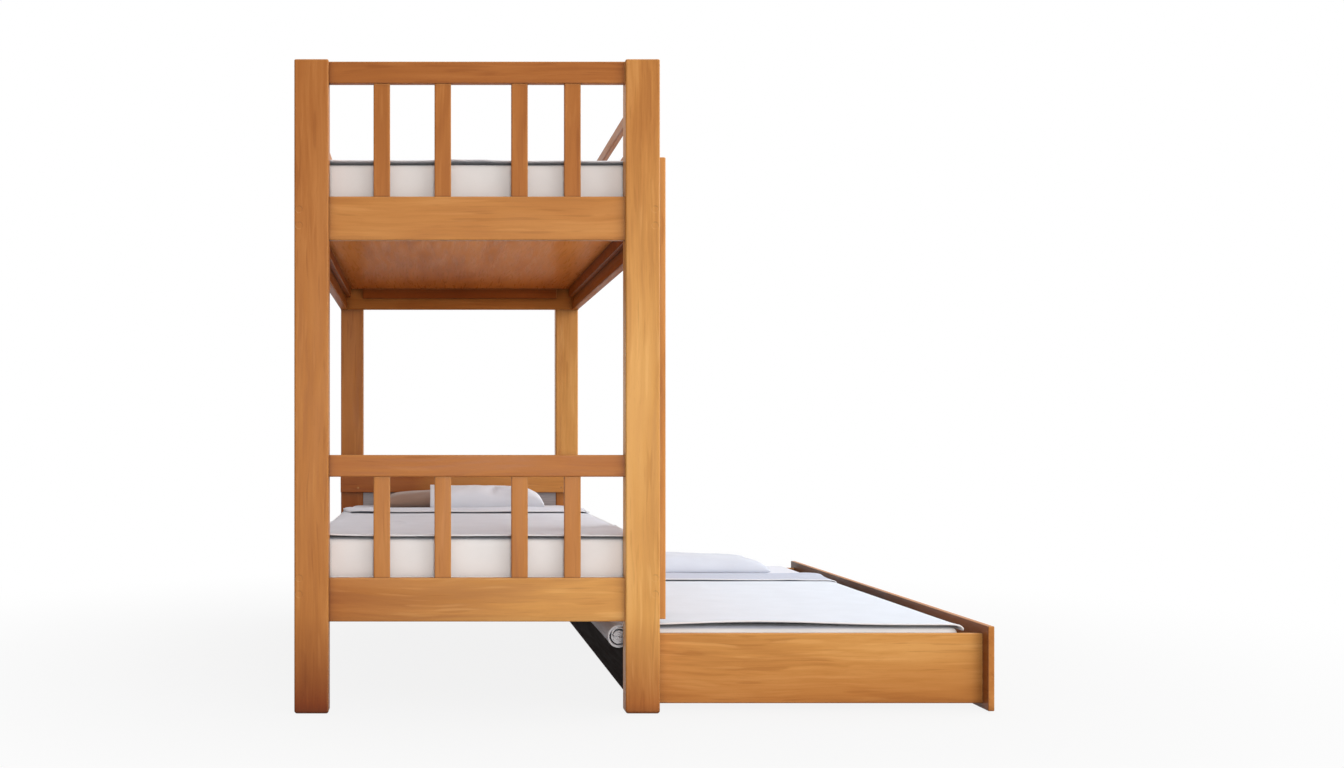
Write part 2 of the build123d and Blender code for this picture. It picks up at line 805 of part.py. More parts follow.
with BuildPart() as caster_forks:
    for x, y in caster_places:
        block(about(x, fork_plate_length), about(y, fork_plate_width), plate_z)
        for face_y in (y - fork_inner_width / 2, y + fork_outer_width / 2):
            with BuildSketch(Plane(origin=(x, face_y, wheel_radius), x_dir=x_way, z_dir=back_y_way)):
                Circle(fork_eye_radius)
                with Locations((0, plate_z[0] - wheel_radius + fork_thick / 2)):
                    Rectangle(fork_leg_width, fork_thick)
                make_hull()
            extrude(amount=fork_thick)
        start = (x, y - fork_outer_width / 2 - overrun, wheel_radius)
        rod(start, y_way, axle_radius + wheel_running_gap, fork_outer_width + 2 * overrun, Mode.SUBTRACT)
    for x, y in caster_screw_places:
        caster_screw(x, y, fit_gap, Mode.SUBTRACT)
save(caster_forks, "caster_forks")

with BuildPart() as caster_axles:
    for x, y in caster_places:
        outer_face = y - fork_outer_width / 2
        rod((x, outer_face - axle_head_height, wheel_radius), y_way, axle_head_radius, axle_head_height)
        rod((x, y + fork_outer_width / 2, wheel_radius), y_way, axle_head_radius, axle_head_height)
        rod((x, outer_face, wheel_radius), y_way, axle_radius, fork_outer_width)
save(caster_axles, "caster_axles")

with BuildPart() as caster_screws:
    for x, y in caster_screw_places:
        caster_screw(x, y)
save(caster_screws, "caster_screws")


def make_wheel(node, x, y):
    """One caster wheel: a rounded tread, a thin web and a hub that runs on the axle."""
    with BuildPart() as wheel:
        rod((x, y - wheel_width / 2, wheel_radius), y_way, wheel_radius, wheel_width)
        fillet(wheel.edges().filter_by(GeomType.CIRCLE), wheel_edge)
        for face_y, way in ((y - wheel_width / 2, y_way), (y + wheel_width / 2, back_y_way)):
            with BuildSketch(Plane(origin=(x, face_y, wheel_radius), z_dir=way)):
                Circle(wheel_radius - wheel_rim_thick)
                Circle(wheel_hub_radius, mode=Mode.SUBTRACT)
            extrude(amount=wheel_recess, mode=Mode.SUBTRACT)
        start = (x, y - wheel_width / 2 - overrun, wheel_radius)
        rod(start, y_way, axle_radius + wheel_running_gap, wheel_width + 2 * overrun, Mode.SUBTRACT)
    save(wheel, node)


for number, (x, y) in enumerate(caster_places, start=1):
    make_wheel(f"trundle_wheel_{number}", x, y)


# Mattresses: soft-cornered slabs with rounded top and bottom edges

def make_mattress(node, x, y, z):
    """One mattress between three pairs of faces."""
    with BuildPart() as mattress:
        with BuildSketch(Plane.XY.offset(z[0])):
            with Locations((middle(x), middle(y))):
                RectangleRounded(length(x), length(y), mattress_corner)
        extrude(amount=length(z))
        fillet(mattress.faces().sort_by(Axis.Z)[-1].edges(), mattress_edge)
        fillet(mattress.faces().sort_by(Axis.Z)[0].edges(), mattress_edge)
    save(mattress, node)


mattress_x = about(bed_x, mattress_width)
make_mattress("upper_mattress", mattress_x, mattress_y, upper_mattress_z)
make_mattress("lower_mattress", mattress_x, mattress_y, lower_mattress_z)
make_mattress("trundle_mattress", trundle_mattress_x, trundle_mattress_y, trundle_mattress_z)


# Where the pillows lie along their beds, from the head end down
upper_pillow_y = below(mattress_y[1] - pillow_head_gap, upper_pillow_depth)
back_pillow_y = below(mattress_y[1] - pillow_head_gap, lower_back_pillow_depth)
front_pillow_y = below(back_pillow_y[0] - pillow_gap, lower_front_pillow_depth)
trundle_pillow_y = below(trundle_mattress_y[1] - pillow_head_gap, trundle_pillow_depth)


# Blankets: one layer over the bed and a second where the head end is turned back

def blanket_layers(x, y, under_z):
    """Add a blanket to the piece being built: its whole layer, and the turned-back one on top."""
    block(x, y, above(under_z, blanket_thick))
    block(x, below(y[1], turned_length), above(under_z + blanket_thick, blanket_thick))


def make_blanket(node, end_y, top_z):
    """A bunk's blanket, whose foot hem stands a little past the mattress."""
    with BuildPart() as blanket:
        spread_y = (mattress_y[0] - hem_reach, end_y)
        blanket_layers(grown(mattress_x, -blanket_side_inset), spread_y, top_z + soft_gap)
        fillet(blanket.edges().filter_by(Axis.X), blanket_edge)
    save(blanket, node)


make_blanket("upper_blanket", upper_pillow_y[0] - upper_pillow_distance, upper_mattress_z[1])
make_blanket("lower_blanket", front_pillow_y[0] - lower_pillow_distance, lower_mattress_z[1])

trundle_blanket_y = (trundle_mattress_y[0], trundle_pillow_y[0] - trundle_pillow_distance)
trundle_blanket_bottom = trundle_mattress_z[1] + soft_gap
with BuildPart() as trundle_blanket:
    blanket_layers(trundle_mattress_x, trundle_blanket_y, trundle_blanket_bottom)
    fillet(trundle_blanket.edges().filter_by(Axis.X), blanket_edge)
    # On the bed's side the blanket rolls over the back board and hangs a little way down
    roll_y = trundle_blanket_y[0] + overhang_foot_gap
    roll_top = trundle_blanket_bottom + blanket_thick / 2
    with BuildSketch(Plane(origin=(0, roll_y, 0), x_dir=x_way, z_dir=back_y_way)):
        with BuildLine():
            over = Line(
                (trundle_mattress_x[0] + blanket_thick, roll_top),
                (trundle_back_x - overhang_clearance + blanket_thick, roll_top),
            )
            turn = JernArc(over @ 1, over % 1, overhang_turn_radius, 90)
            Line(turn @ 1, turn @ 1 + Vector(0, -overhang_fall))
        trace(line_width=blanket_thick)
    extrude(amount=roll_y - (trundle_blanket_y[1] - turned_length))
save(trundle_blanket, "trundle_blanket")


# Pillows: crowned, with drawn-in sides between their corners

def pillow_sections():
    """Pairs of shares up a pillow: how high each outline lies, and how large it is."""
    low, high = radians(pillow_bottom_angle), radians(pillow_top_angle)
    for number in range(pillow_section_count):
        angle = low + (high - low) * number / (pillow_section_count - 1)
        yield (sin(angle) - sin(low)) / (sin(high) - sin(low)), cos(angle) ** pillow_roundness


def make_pillow(node, x, y, z):
    """One pillow: a crowned loft through outlines whose four sides are shallow inward arcs."""
    with BuildPart() as pillow:
        for height_share, size_share in pillow_sections():
            wide = about(middle(x), length(x) * size_share)
            deep = about(middle(y), length(y) * size_share)
            corners = [(wide[0], deep[0]), (wide[1], deep[0]), (wide[1], deep[1]), (wide[0], deep[1])]
            draw = pillow_draw_share * length(y) * size_share
            with BuildSketch(Plane.XY.offset(z[0] + height_share * length(z))) as outline:
                with BuildLine():
                    for start, finish in zip(corners, corners[1:] + corners[:1]):
                        SagittaArc(start, finish, draw)
                make_face()
                fillet(outline.vertices(), pillow_corner_share * length(y) * size_share)
        loft(ruled=True)
    save(pillow, node)


lower_soft_z = lower_mattress_z[1] + soft_gap
make_pillow(
    "lower_back_pillow",
    about(bed_x + lower_back_pillow_offset, lower_back_pillow_width),
    back_pillow_y,
    above(lower_soft_z, lower_back_pillow_height),
)
make_pillow(
    "lower_front_pillow",
    about(bed_x + lower_front_pillow_offset, lower_front_pillow_width),
    front_pillow_y,
    above(lower_soft_z, lower_front_pillow_height),
)
make_pillow(
    "upper_pillow",
    about(bed_x, upper_pillow_width),
    upper_pillow_y,
    above(upper_mattress_z[1] + soft_gap, upper_pillow_height),
)
make_pillow(
    "trundle_pillow",
    about(middle(trundle_mattress_x) + trundle_pillow_offset, trundle_pillow_width),
    trundle_pillow_y,
    above(trundle_mattress_z[1] + soft_gap, trundle_pillow_height),
)
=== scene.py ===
"""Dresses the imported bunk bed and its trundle: finishes, mattresses, bedding, light and camera.

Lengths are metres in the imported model's frame: X towards the drawn-out trundle, Y from the foot end to the
head end, Z up. Texture scales are counts per metre.
"""

from math import ceil, copysign, cos, exp, hypot, pi, radians, sin

import bmesh
import bpy
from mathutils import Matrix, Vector, noise


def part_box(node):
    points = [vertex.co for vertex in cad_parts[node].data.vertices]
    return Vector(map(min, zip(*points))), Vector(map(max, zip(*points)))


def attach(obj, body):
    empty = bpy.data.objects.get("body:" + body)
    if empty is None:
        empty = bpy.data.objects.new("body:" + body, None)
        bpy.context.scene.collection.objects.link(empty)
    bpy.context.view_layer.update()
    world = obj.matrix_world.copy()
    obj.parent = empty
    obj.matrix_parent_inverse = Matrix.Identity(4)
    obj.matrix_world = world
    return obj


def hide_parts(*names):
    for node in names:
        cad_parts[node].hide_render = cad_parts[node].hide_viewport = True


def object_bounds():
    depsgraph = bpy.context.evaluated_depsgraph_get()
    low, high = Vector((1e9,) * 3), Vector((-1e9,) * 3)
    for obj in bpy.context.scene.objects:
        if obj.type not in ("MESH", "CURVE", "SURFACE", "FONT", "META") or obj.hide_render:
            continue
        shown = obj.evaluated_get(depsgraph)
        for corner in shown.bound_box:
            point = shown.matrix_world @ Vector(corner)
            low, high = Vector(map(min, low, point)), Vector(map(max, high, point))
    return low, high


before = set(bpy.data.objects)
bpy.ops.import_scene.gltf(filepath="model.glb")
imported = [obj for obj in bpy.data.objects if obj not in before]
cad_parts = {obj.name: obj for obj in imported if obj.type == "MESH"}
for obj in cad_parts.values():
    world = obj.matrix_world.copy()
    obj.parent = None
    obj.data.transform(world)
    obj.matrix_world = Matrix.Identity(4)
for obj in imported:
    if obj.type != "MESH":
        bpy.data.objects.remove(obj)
cad_low, cad_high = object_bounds()

# Colours, linear
HONEY_WOOD = ((0.350, 0.108, 0.018), (0.545, 0.208, 0.044), (0.680, 0.300, 0.082))
DECK_WOOD = ((0.400, 0.100, 0.019), (0.620, 0.185, 0.038), (0.720, 0.245, 0.060))
# Near-black wood for the trundle's back board: painted deep shade under the bed
DEEP_SHADE_WOOD = ((0.011, 0.007, 0.006), (0.020, 0.014, 0.012), (0.032, 0.023, 0.020))
# Painted shade, at contacts and on edges that face away from the light
CONTACT_SHADE = (0.060, 0.018, 0.006)
# Painted shade where the grey panel meets other parts
GREY_PANEL_CONTACT_SHADE = (0.050, 0.050, 0.055)
# Painted highlight on edges that face the light
EDGE_HIGHLIGHT_WOOD = (0.800, 0.420, 0.150)
GREY_PAINT = (0.440, 0.400, 0.405)
MATTRESS_COVER = (0.920, 0.880, 0.855)
# A darker copy of the mattress cover: painted shade on the upper mattress
UPPER_MATTRESS_SHADED_COVER = (0.820, 0.775, 0.745)
MATTRESS_TOP = (0.700, 0.715, 0.790)
LOWER_CLOTH = (0.800, 0.835, 0.930)
UPPER_CLOTH = (0.700, 0.700, 0.740)
TRUNDLE_CLOTH = (0.710, 0.775, 0.870)
# A darker copy of the trundle blanket's cloth: painted shade on its turned-back layer
TRUNDLE_SHADED_REVERSE = (0.490, 0.535, 0.660)
HEM_CLOTH = (0.830, 0.825, 0.850)
PILLOW_CLOTH = (0.840, 0.860, 0.920)
TRUNDLE_PILLOW_CLOTH = (0.640, 0.680, 0.770)
# Taupe cloth, made darker as painted shade on the back pillow
TAUPE_SHADED_CLOTH = (0.330, 0.207, 0.150)
STEEL = (0.600, 0.600, 0.610)
BRONZED_STEEL = (0.420, 0.170, 0.045)
WHEEL_GREY = (0.060, 0.060, 0.065)
FLOOR_PALE = (0.420, 0.420, 0.420)
WHITE = (1.0, 1.0, 1.0)

# How much a board's red, green and blue each follow its stain
STAIN_POWERS = (1.0, 1.75, 2.35)

# Each post's tone low down, in its middle and at its top, given as stains: painted shade low down, painted
# light on the side of the trundle, and partly each post's own tone
POST_TONE_AND_LIGHT = {
    "foot_left": (0.39, 0.94, 0.82),
    "foot_right": (0.74, 1.36, 1.05),
    "head_left": (0.64, 0.92, 0.84),
    "head_right": (0.92, 1.28, 1.03),
}
# Shares of the posts' height between which one tone turns into the next
POST_RISES = {"foot": (0.01, 0.15), "head": (0.28, 0.36)}
POST_FADE = (0.55, 0.90)

# The headboard's painted shadow and painted light, as stains at shares of its length
HEADBOARD_SHADE_AND_LIGHT = ((0.30, 0.64), (0.46, 1.02), (1.0, 1.13))
# The lower foot rail: painted light, as stains at the left and right ends, how early that changes, and its
# band of painted shade
LOWER_RAIL_LIGHT = (0.75, 1.20)
LOWER_RAIL_EARLY = 0.13
LOWER_RAIL_SHADE_BAND = 0.25
SHADE_BAND_TONE = 0.88
# The trundle foot board's painted shade at its lower edge and painted light at its upper edge, as stains
TRUNDLE_FOOT_LIGHT = (0.90, 1.12)
# Tones of painted light and shade on the decks at foot and head, and of painted shade on the front board's
# inner side at foot and middle, and its depth
DECK_LIGHT_AND_SHADE = ((1.36, 1.60, 1.65), (0.78, 0.69, 0.63))
INSIDE_SHADE_TONES = ((0.50, 0.44, 0.50), (0.19, 0.18, 0.24))
INSIDE_DEPTHS = (0.0025, 0.0035)

# Grain, as counts per metre along and across a board
RING_GRAIN = (0.8, 8.0)
BROAD_GRAIN = (1.6, 14.0)
PATCH_GRAIN = (1.3, 11.0)
LINE_GRAIN = (5.0, 105.0)
STREAK_GRAIN = (5.0, 85.0)
PORE_GRAIN = (26.0, 700.0)
# Where the patches, the dark streaks and the light gleams lie in their noises
PATCH_PLACE = (7.7, 2.9, 4.3)
STREAK_PLACE = (3.1, 1.7, 5.3)
GLEAM_PLACE = (8.9, 6.1, 2.3)
# The middle of a noise's values, where patches set in, and the contrast of lines outside and inside them
MIDDLE_RANGE = (0.3, 0.7)
PATCH_RANGE = (0.35, 0.62)
LINE_CONTRAST = (0.12, 0.46)
# The noise values between which each kind of mark sets in, and its share of the colour
PORES = (0.58, 0.74, 0.22)
STREAKS = (0.63, 0.72, 0.34)
GLEAMS = (0.58, 0.74, 0.38)
# What the figure is made of, and where it is dark, middling and light
BROAD_SHARE = 0.62
BROAD_BASE = 0.19
RING_WAVES = 40.0
RING_SHARE = 0.030
FIGURE_STOPS = (0.18, 0.50, 0.80)
# How the grain wanders: counts per metre and how far
SLOW_WANDER = (2.2, 0.034)
QUICK_WANDER = (11.0, 0.0050)
# How far apart the boards' pieces of the grain lie, along each axis and from board to board
SHIFT_SHARES = (1.0, 0.7, 1.3)
BOARD_SHIFT = 0.37

# The oil's shine, and the duller one of boards inside and behind
OILED_GLOSS = 0.2
DULL_GLOSS = 0.03
OILED_ROUGHNESS = 0.42
ROUGHNESS_CHANGES = (-0.06, 0.08)
PORE_RELIEF = 0.6
GRAIN_BUMP = (0.0004, 0.3)
# Contact shade where boards meet: its reach, the openness between which it fades, and its shares
CONTACT_REACH = 0.034
CONTACT_FADE = (0.40, 0.92, 0.62, 0.0)
# Painted light and shade on edges, as if lit from the upper right: their reach, strength, and the nearness
# and facing between which they set in
EDGE_REACH = 0.0070
EDGE_FADE = (0.97, 0.66)
EDGE_LIGHT_SHARE = 0.5
SHELTERED_FACING = (-0.6, 0.0)
LIT_FACING = (0.05, 0.6)

# Cloth: its thread's pitch, and counts per metre of its slubs and slow tones
THREAD = 0.0011
SLUB_GRAIN = (60.0, 1100.0, 600.0)
TONE_GRAIN = 9.0
SLUB_TONE = 0.2
TONE_RANGE = (0.45, 0.95)
DARKER_SHARE = 0.95
SHADE_SHARE = 0.34
WEAVE_RELIEF = 0.25
CLOTH_BUMP = (0.0003, 0.5)
CLOTH_ROUGHNESS = 0.88
SHEEN = (0.25, 0.5)
UPWARD_FACING = (0.88, 0.96)
# Painted shade in folds and near contacts: how far it reaches and where it fades
FOLD_REACH = 0.014
FOLD_FADE = (0.2, 0.8)

# Paint, steel and plastic: counts per metre of their marks, and what these do
BRUSH_MARKS = (8.0, 200.0, 200.0)
BRUSH_TONE = 0.82
# The fade of the painted shade where the grey panel meets other parts
PAINT_FADE = (0.4, 0.95, 0.6, 0.0)
PAINT_BUMP = (0.0003, 0.3)
STEEL_BRUSHING = (300.0, 2500.0, 2500.0)
STEEL_MOTTLE = 90.0
MOTTLE_TONE = 0.78
STEEL_ROUGHNESS = (0.26, 0.44)
STEEL_BUMP = (0.0001, 0.4)
PLASTIC_GRAIN = 1400.0
PLASTIC_DUST = 60.0
DUST_TONE = 2.2
DUST_RANGE = (0.45, 0.75)
DUST_ROUGHNESS = (0.4, 0.7, 0.5, 0.7)
PLASTIC_BUMP = (0.0002, 0.4)

# Mattresses
MATTRESS_RADII = (0.038, 0.038, 0.011)
MATTRESS_CELL = 0.020
MATTRESS_LAYERS = 9
EDGE_CROWDING = 1.5
DENT_DEPTH = 0.0022
DENT_COUNT = 5.0
TOP_DENT_SHARE = 0.6
SIDE_SWELL = 0.0035
SIDE_POWER = 9
PIPING_RADIUS = 0.0028
SEAM_STEP = 0.03
CORNER_PARTS = 6

# Sides of a piping or a hem
CORD_SIDES = 8

# Blankets: how far the foot hem and the turned-back hem lift, and how full the foot hem is
UPPER_EDGES = (0.0, 0.0050, 0.0017)
LOWER_EDGES = (0.003, 0.0085, 0.0027)
TRUNDLE_EDGES = (0.012, 0.0040, 0.0027)
CLOTH_THICK = 0.004
FLAT_HEM_RADIUS = 0.0021
LAID_GAP = 0.0012
SHEET_CELL = 0.014
FOLD_RADIUS = 0.0065
FOLD_PARTS = 5
TURNED_LENGTH = 0.19

# Creases: counts per metre, slant, bends, shape and patches, and the counts of the slow swells
CREASE_COUNTS = (2.6, 1.9)
CREASE_SLANT = 0.7
CREASE_BENDS = (0.8, 0.9)
CREASE_SHAPE = (2.4, 4)
CREASE_PATCHES = (-0.15, 0.35)
PATCH_SCALE = 0.9
SWELL_COUNTS = (3.1, 2.7)

# Pillows
PILLOW_CELLS = 34
PILLOW_DRAW = (0.045, 0.075)
LEAN_START = -0.4
MERGE_DISTANCE = 0.0001
PILLOW_CAP = 0.014
PILLOW_RUMPLE = 0.0022
RUMPLE_COUNT = 16.0
INFLATE_FRAMES = 20
INFLATE = {
    "quality": 6,
    "mass": 0.25,
    "tension_stiffness": 12.0,
    "compression_stiffness": 12.0,
    "shear_stiffness": 6.0,
    "bending_stiffness": 0.4,
    "use_pressure": True,
    "uniform_pressure_force": 4.0,
}
CASE_END_WIDTH = 0.019
CASE_END_PROUD = 0.0015
CASE_END_LAP = 0.003
CASE_END_RIM = 0.002

# Floor: its size, its drop below the bed, and the distances and shares between which it turns white
FLOOR_RADIUS = 60.0
FLOOR_DROP = 0.0005
FLOOR_WHITE = (0.8, 3.4, 0.87, 1.0)

# Lamps: place, aim, size and power of each, and the surround's light from left and right
LAMPS = {
    "front_lamp": ((-0.2, -5.6, 0.9), (-0.2, 0.0, 0.8), 1.0, 66.0),
    "key_lamp": ((3.8, -4.4, 2.5), (-0.2, 0.0, 0.7), 3.2, 50.0),
    "window_lamp": ((3.4, 0.6, 2.6), (0.0, 0.0, 0.4), 2.5, 70.0),
    "top_lamp": ((0.6, 0.2, 4.6), (0.2, 0.0, 0.0), 3.0, 36.0),
}
SURROUND = (0.34, 0.95)

# Camera: millimetres for the lens, pixels for the photograph's width and its shift
SENSOR_WIDTH = 36.0
LENS = 36.13
PHOTO_WIDTH = 1344.0
PHOTO_SHIFT = (245.0, 56.0)
CAMERA_PLACE = (-0.599, -4.715, 0.7486)


def rgba(colour):
    """A colour with full alpha, as shader sockets take it."""
    return (*colour, 1.0)


def toned(colour, share):
    """A colour made darker or paler, with full alpha."""
    return rgba(share * part for part in colour)


def stained(colour, stain):
    """A wood colour under a stain: below 1 it turns darker and redder, above 1 paler."""
    return tuple(part * stain**power for part, power in zip(colour, STAIN_POWERS))


def smooth_step(low, high, value):
    """0 below low, 1 above high, and a smooth rise between them."""
    share = min(max((value - low) / (high - low), 0.0), 1.0)
    return share * share * (3.0 - 2.0 * share)


class Nodes:
    """A node tree in the making, with short calls that add its nodes and join them."""

    def __init__(self, tree):
        self.tree = tree

    def feed(self, socket, value):
        """Join a node's output to a socket, or give the socket a plain value."""
        if isinstance(value, bpy.types.NodeSocket):
            self.tree.links.new(value, socket)
        else:
            socket.default_value = value

    def node(self, kind, inputs=None, **settings):
        """A new node, with the inputs that are given by number or name."""
        made = self.tree.nodes.new(kind)
        for setting, value in settings.items():
            setattr(made, setting, value)
        for place, value in (inputs or {}).items():
            self.feed(made.inputs[place], value)
        return made

    def math(self, operation, first, second=0.0):
        return self.node("ShaderNodeMath", {0: first, 1: second}, operation=operation).outputs[0]

    def scaled(self, vector, scale, shift=(0.0, 0.0, 0.0)):
        inputs = {"Vector": vector, "Scale": scale, "Location": shift}
        return self.node("ShaderNodeMapping", inputs).outputs[0]

    def noise(self, vector, scale=1.0, detail=3.0, colour=False):
        inputs = {"Vector": vector, "Scale": scale, "Detail": detail}
        return self.node("ShaderNodeTexNoise", inputs).outputs[1 if colour else 0]

    def shifted(self, vector, scale, amount):
        """The vector moved about by a noise, so that straight patterns wander."""
        wander = self.noise(vector, scale, detail=1.0, colour=True)
        inputs = {0: wander, 1: (amount, amount, amount), 2: vector}
        return self.node("ShaderNodeVectorMath", inputs, operation="MULTIPLY_ADD").outputs[0]

    def spread(self, value, low, high, new_low=0.0, new_high=1.0, kind="SMOOTHSTEP"):
        """One range turned into another, with a smooth step unless another kind is given."""
        inputs = dict(enumerate((value, low, high, new_low, new_high)))
        return self.node("ShaderNodeMapRange", inputs, interpolation_type=kind).outputs[0]

    def ramp(self, value, stops):
        made = self.node("ShaderNodeValToRGB", {0: value})
        elements = made.color_ramp.elements
        while len(elements) < len(stops):
            elements.new(1.0)
        for element, (place, colour) in zip(elements, stops):
            element.position = place
            element.color = rgba(colour)
        return made.outputs[0]

    def mix(self, share, first, second, blend="MIX"):
        inputs = {0: share, 6: first, 7: second}
        return self.node("ShaderNodeMix", inputs, data_type="RGBA", blend_type=blend).outputs[2]

    def nearness(self, reach, inside=False):
        """1 in the open, falling towards 0 near a contact, or near an edge when seen from inside."""
        made = self.node("ShaderNodeAmbientOcclusion", {"Distance": reach}, samples=4, inside=inside)
        return made.outputs["AO"]

    def parts(self, vector):
        """The X, Y and Z of a vector."""
        return self.node("ShaderNodeSeparateXYZ", {0: vector}).outputs

    def seen(self):
        """1 for the rays of the camera, of reflections and of glass."""
        rays = self.node("ShaderNodeLightPath").outputs
        seen = self.math("MAXIMUM", rays["Is Camera Ray"], rays["Is Glossy Ray"])
        return self.math("MAXIMUM", seen, rays["Is Transmission Ray"])


class Finish(Nodes):
    """A material in the making."""

    def __init__(self, name, roughness, metallic=0.0):
        self.material = bpy.data.materials.new(name)
        self.material.use_nodes = True
        super().__init__(self.material.node_tree)
        self.shader = self.tree.nodes["Principled BSDF"].inputs
        self.shader["Roughness"].default_value = roughness
        self.shader["Metallic"].default_value = metallic
        self.place = self.node("ShaderNodeTexCoord").outputs["Object"]

    def bump(self, height, distance, strength):
        inputs = {"Strength": strength, "Distance": distance, "Height": height}
        self.feed(self.shader["Normal"], self.node("ShaderNodeBump", inputs).outputs[0])


X, Y, Z = range(3)


def grain(made, place, axis, palette, figured):
    """The colour of the grain at a place, and the noises of its lines and pores."""

    def marks(counts, detail, shift=(0.0, 0.0, 0.0)):
        """A noise that is drawn out along the board."""
        scales = [counts[1]] * 3
        scales[axis] = counts[0]
        return made.noise(made.scaled(place, scales, shift), detail=detail)

    dark, _, light = palette
    lines, pores = marks(LINE_GRAIN, 4.0), marks(PORE_GRAIN, 2.0)
    rings = made.math("SINE", made.math("MULTIPLY", marks(RING_GRAIN, 1.0), RING_WAVES))
    patches = marks(PATCH_GRAIN, 1.0, PATCH_PLACE)
    contrast = made.spread(patches, *PATCH_RANGE, *(figured * share for share in LINE_CONTRAST))
    fine = made.math("MULTIPLY", made.math("SUBTRACT", lines, 0.5), contrast)
    figure = made.math("ADD", made.math("MULTIPLY", marks(BROAD_GRAIN, 2.0), BROAD_SHARE), BROAD_BASE)
    figure = made.math("ADD", made.math("ADD", figure, fine), made.math("MULTIPLY", rings, RING_SHARE))
    colour = made.ramp(figure, list(zip(FIGURE_STOPS, palette)))
    streaks, gleams = (marks(STREAK_GRAIN, 1.0, shift) for shift in (STREAK_PLACE, GLEAM_PLACE))
    kinds = ((pores, PORES, dark), (streaks, STREAKS, dark), (gleams, GLEAMS, light))
    for kind, (low, high, share), shade in kinds:
        colour = made.mix(made.spread(kind, low, high, 0.0, share * figured), colour, rgba(shade))
    return colour, lines, pores


def painted_edge_light(made, colour, edge_light):
    """A colour with painted shade on edges that face down or left, and a painted highlight on those that
    face up or right.
    """
    facing = made.parts(made.node("ShaderNodeBevel", {"Radius": EDGE_REACH}, samples=4).outputs[0])
    near_edge = made.spread(made.nearness(EDGE_REACH, inside=True), *EDGE_FADE)
    towards_light = made.math("ADD", facing[X], facing[Z])
    sheltered = made.spread(towards_light, *SHELTERED_FACING, edge_light, 0.0)
    lit = made.spread(towards_light, *LIT_FACING, 0.0, edge_light)
    for share, tone in ((sheltered, CONTACT_SHADE), (lit, EDGE_HIGHLIGHT_WOOD)):
        colour = made.mix(made.math("MULTIPLY", near_edge, share), colour, rgba(tone))
    return colour


def wood(
    name, axis, stain=1.0, shift=0.0, palette=HONEY_WOOD, gloss=OILED_GLOSS, roughness=OILED_ROUGHNESS,
    edge_light=EDGE_LIGHT_SHARE, tone=None, figured=1.0,
):
    """Oiled wood whose grain runs along an axis, with painted shade at contacts and painted light and shade
    on its edges.

    The stain deepens or pales the palette, the shift gives the board its own piece of the grain, and figured
    is how strong the grain is.
    """
    made = Finish(name, roughness)
    place = made.scaled(made.place, (1.0, 1.0, 1.0), tuple(shift * share for share in SHIFT_SHARES))
    place = made.shifted(made.shifted(place, *SLOW_WANDER), *QUICK_WANDER)
    shades = [stained(colour, stain) for colour in palette]
    colour, lines, pores = grain(made, place, axis, shades, figured)
    if tone:
        colour = made.mix(1.0, colour, tone(made), blend="MULTIPLY")
    if edge_light:
        colour = painted_edge_light(made, colour, edge_light)
    contact_share = made.spread(made.nearness(CONTACT_REACH), *CONTACT_FADE)
    colour = made.mix(contact_share, colour, rgba(CONTACT_SHADE))
    made.feed(made.shader["Base Color"], colour)
    roughnesses = (roughness + change for change in ROUGHNESS_CHANGES)
    made.feed(made.shader["Roughness"], made.spread(lines, *MIDDLE_RANGE, *roughnesses))
    made.shader["Specular IOR Level"].default_value = gloss
    made.bump(made.math("ADD", lines, made.math("MULTIPLY", pores, PORE_RELIEF)), *GRAIN_BUMP)
    return made.material


def painted_light_tones(stains):
    """What a board's colour is multiplied by under each of some stains, used here to paint light and shade.
    """
    return [stained(WHITE, stain) for stain in stains]


def changing_tone(made, axis, start, finish, tones):
    """A tone that changes smoothly to another between two places on an axis."""
    first, second = (rgba(tone) for tone in tones)
    return made.mix(made.spread(made.parts(made.place)[axis], start, finish), first, second)


def post_tone_and_light(made):
    """The slow change of tone up the posts, each with its own: painted shade low down and painted light
    towards the trundle, partly the posts' own tone.
    """
    place = made.parts(made.place)
    up = made.math("DIVIDE", place[Z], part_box("post_foot_left")[1].z)
    ramps = []
    for post, (low, middle, top) in POST_TONE_AND_LIGHT.items():
        shares = POST_RISES[post.split("_")[0]] + POST_FADE
        ramps.append(made.ramp(up, list(zip(shares, painted_light_tones((low, middle, middle, top))))))
    middle_x = (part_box("post_foot_left")[0].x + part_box("post_foot_right")[1].x) / 2.0
    rightward = made.math("GREATER_THAN", place[X], middle_x)
    headward = made.math("GREATER_THAN", place[Y], 0.0)
    foot = made.mix(rightward, ramps[0], ramps[1])
    head = made.mix(rightward, ramps[2], ramps[3])
    return made.mix(headward, foot, head)


def shaded_inside(made):
    """Painted shade on the inner side of the trundle's front board, deepest towards the head."""
    low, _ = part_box("trundle_front_panel")
    deep = changing_tone(made, Y, low.y, 0.0, INSIDE_SHADE_TONES)
    starts, ends = (low.x + depth for depth in INSIDE_DEPTHS)
    return made.mix(made.spread(made.parts(made.place)[X], starts, ends), deep, rgba(WHITE))


def deck_light_and_shade(made):
    """The decks pale a little towards the foot end: painted light there, and painted shade towards the head
    end.
    """
    return changing_tone(made, Y, cad_low.y, cad_high.y, DECK_LIGHT_AND_SHADE)


def trundle_foot_light(made):
    """The trundle's foot board pales a little from its lower to its upper edge: painted shade low down,
    painted light above.
    """
    low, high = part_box("trundle_foot_panel")
    return changing_tone(made, Z, low.z, high.z, painted_light_tones(TRUNDLE_FOOT_LIGHT))


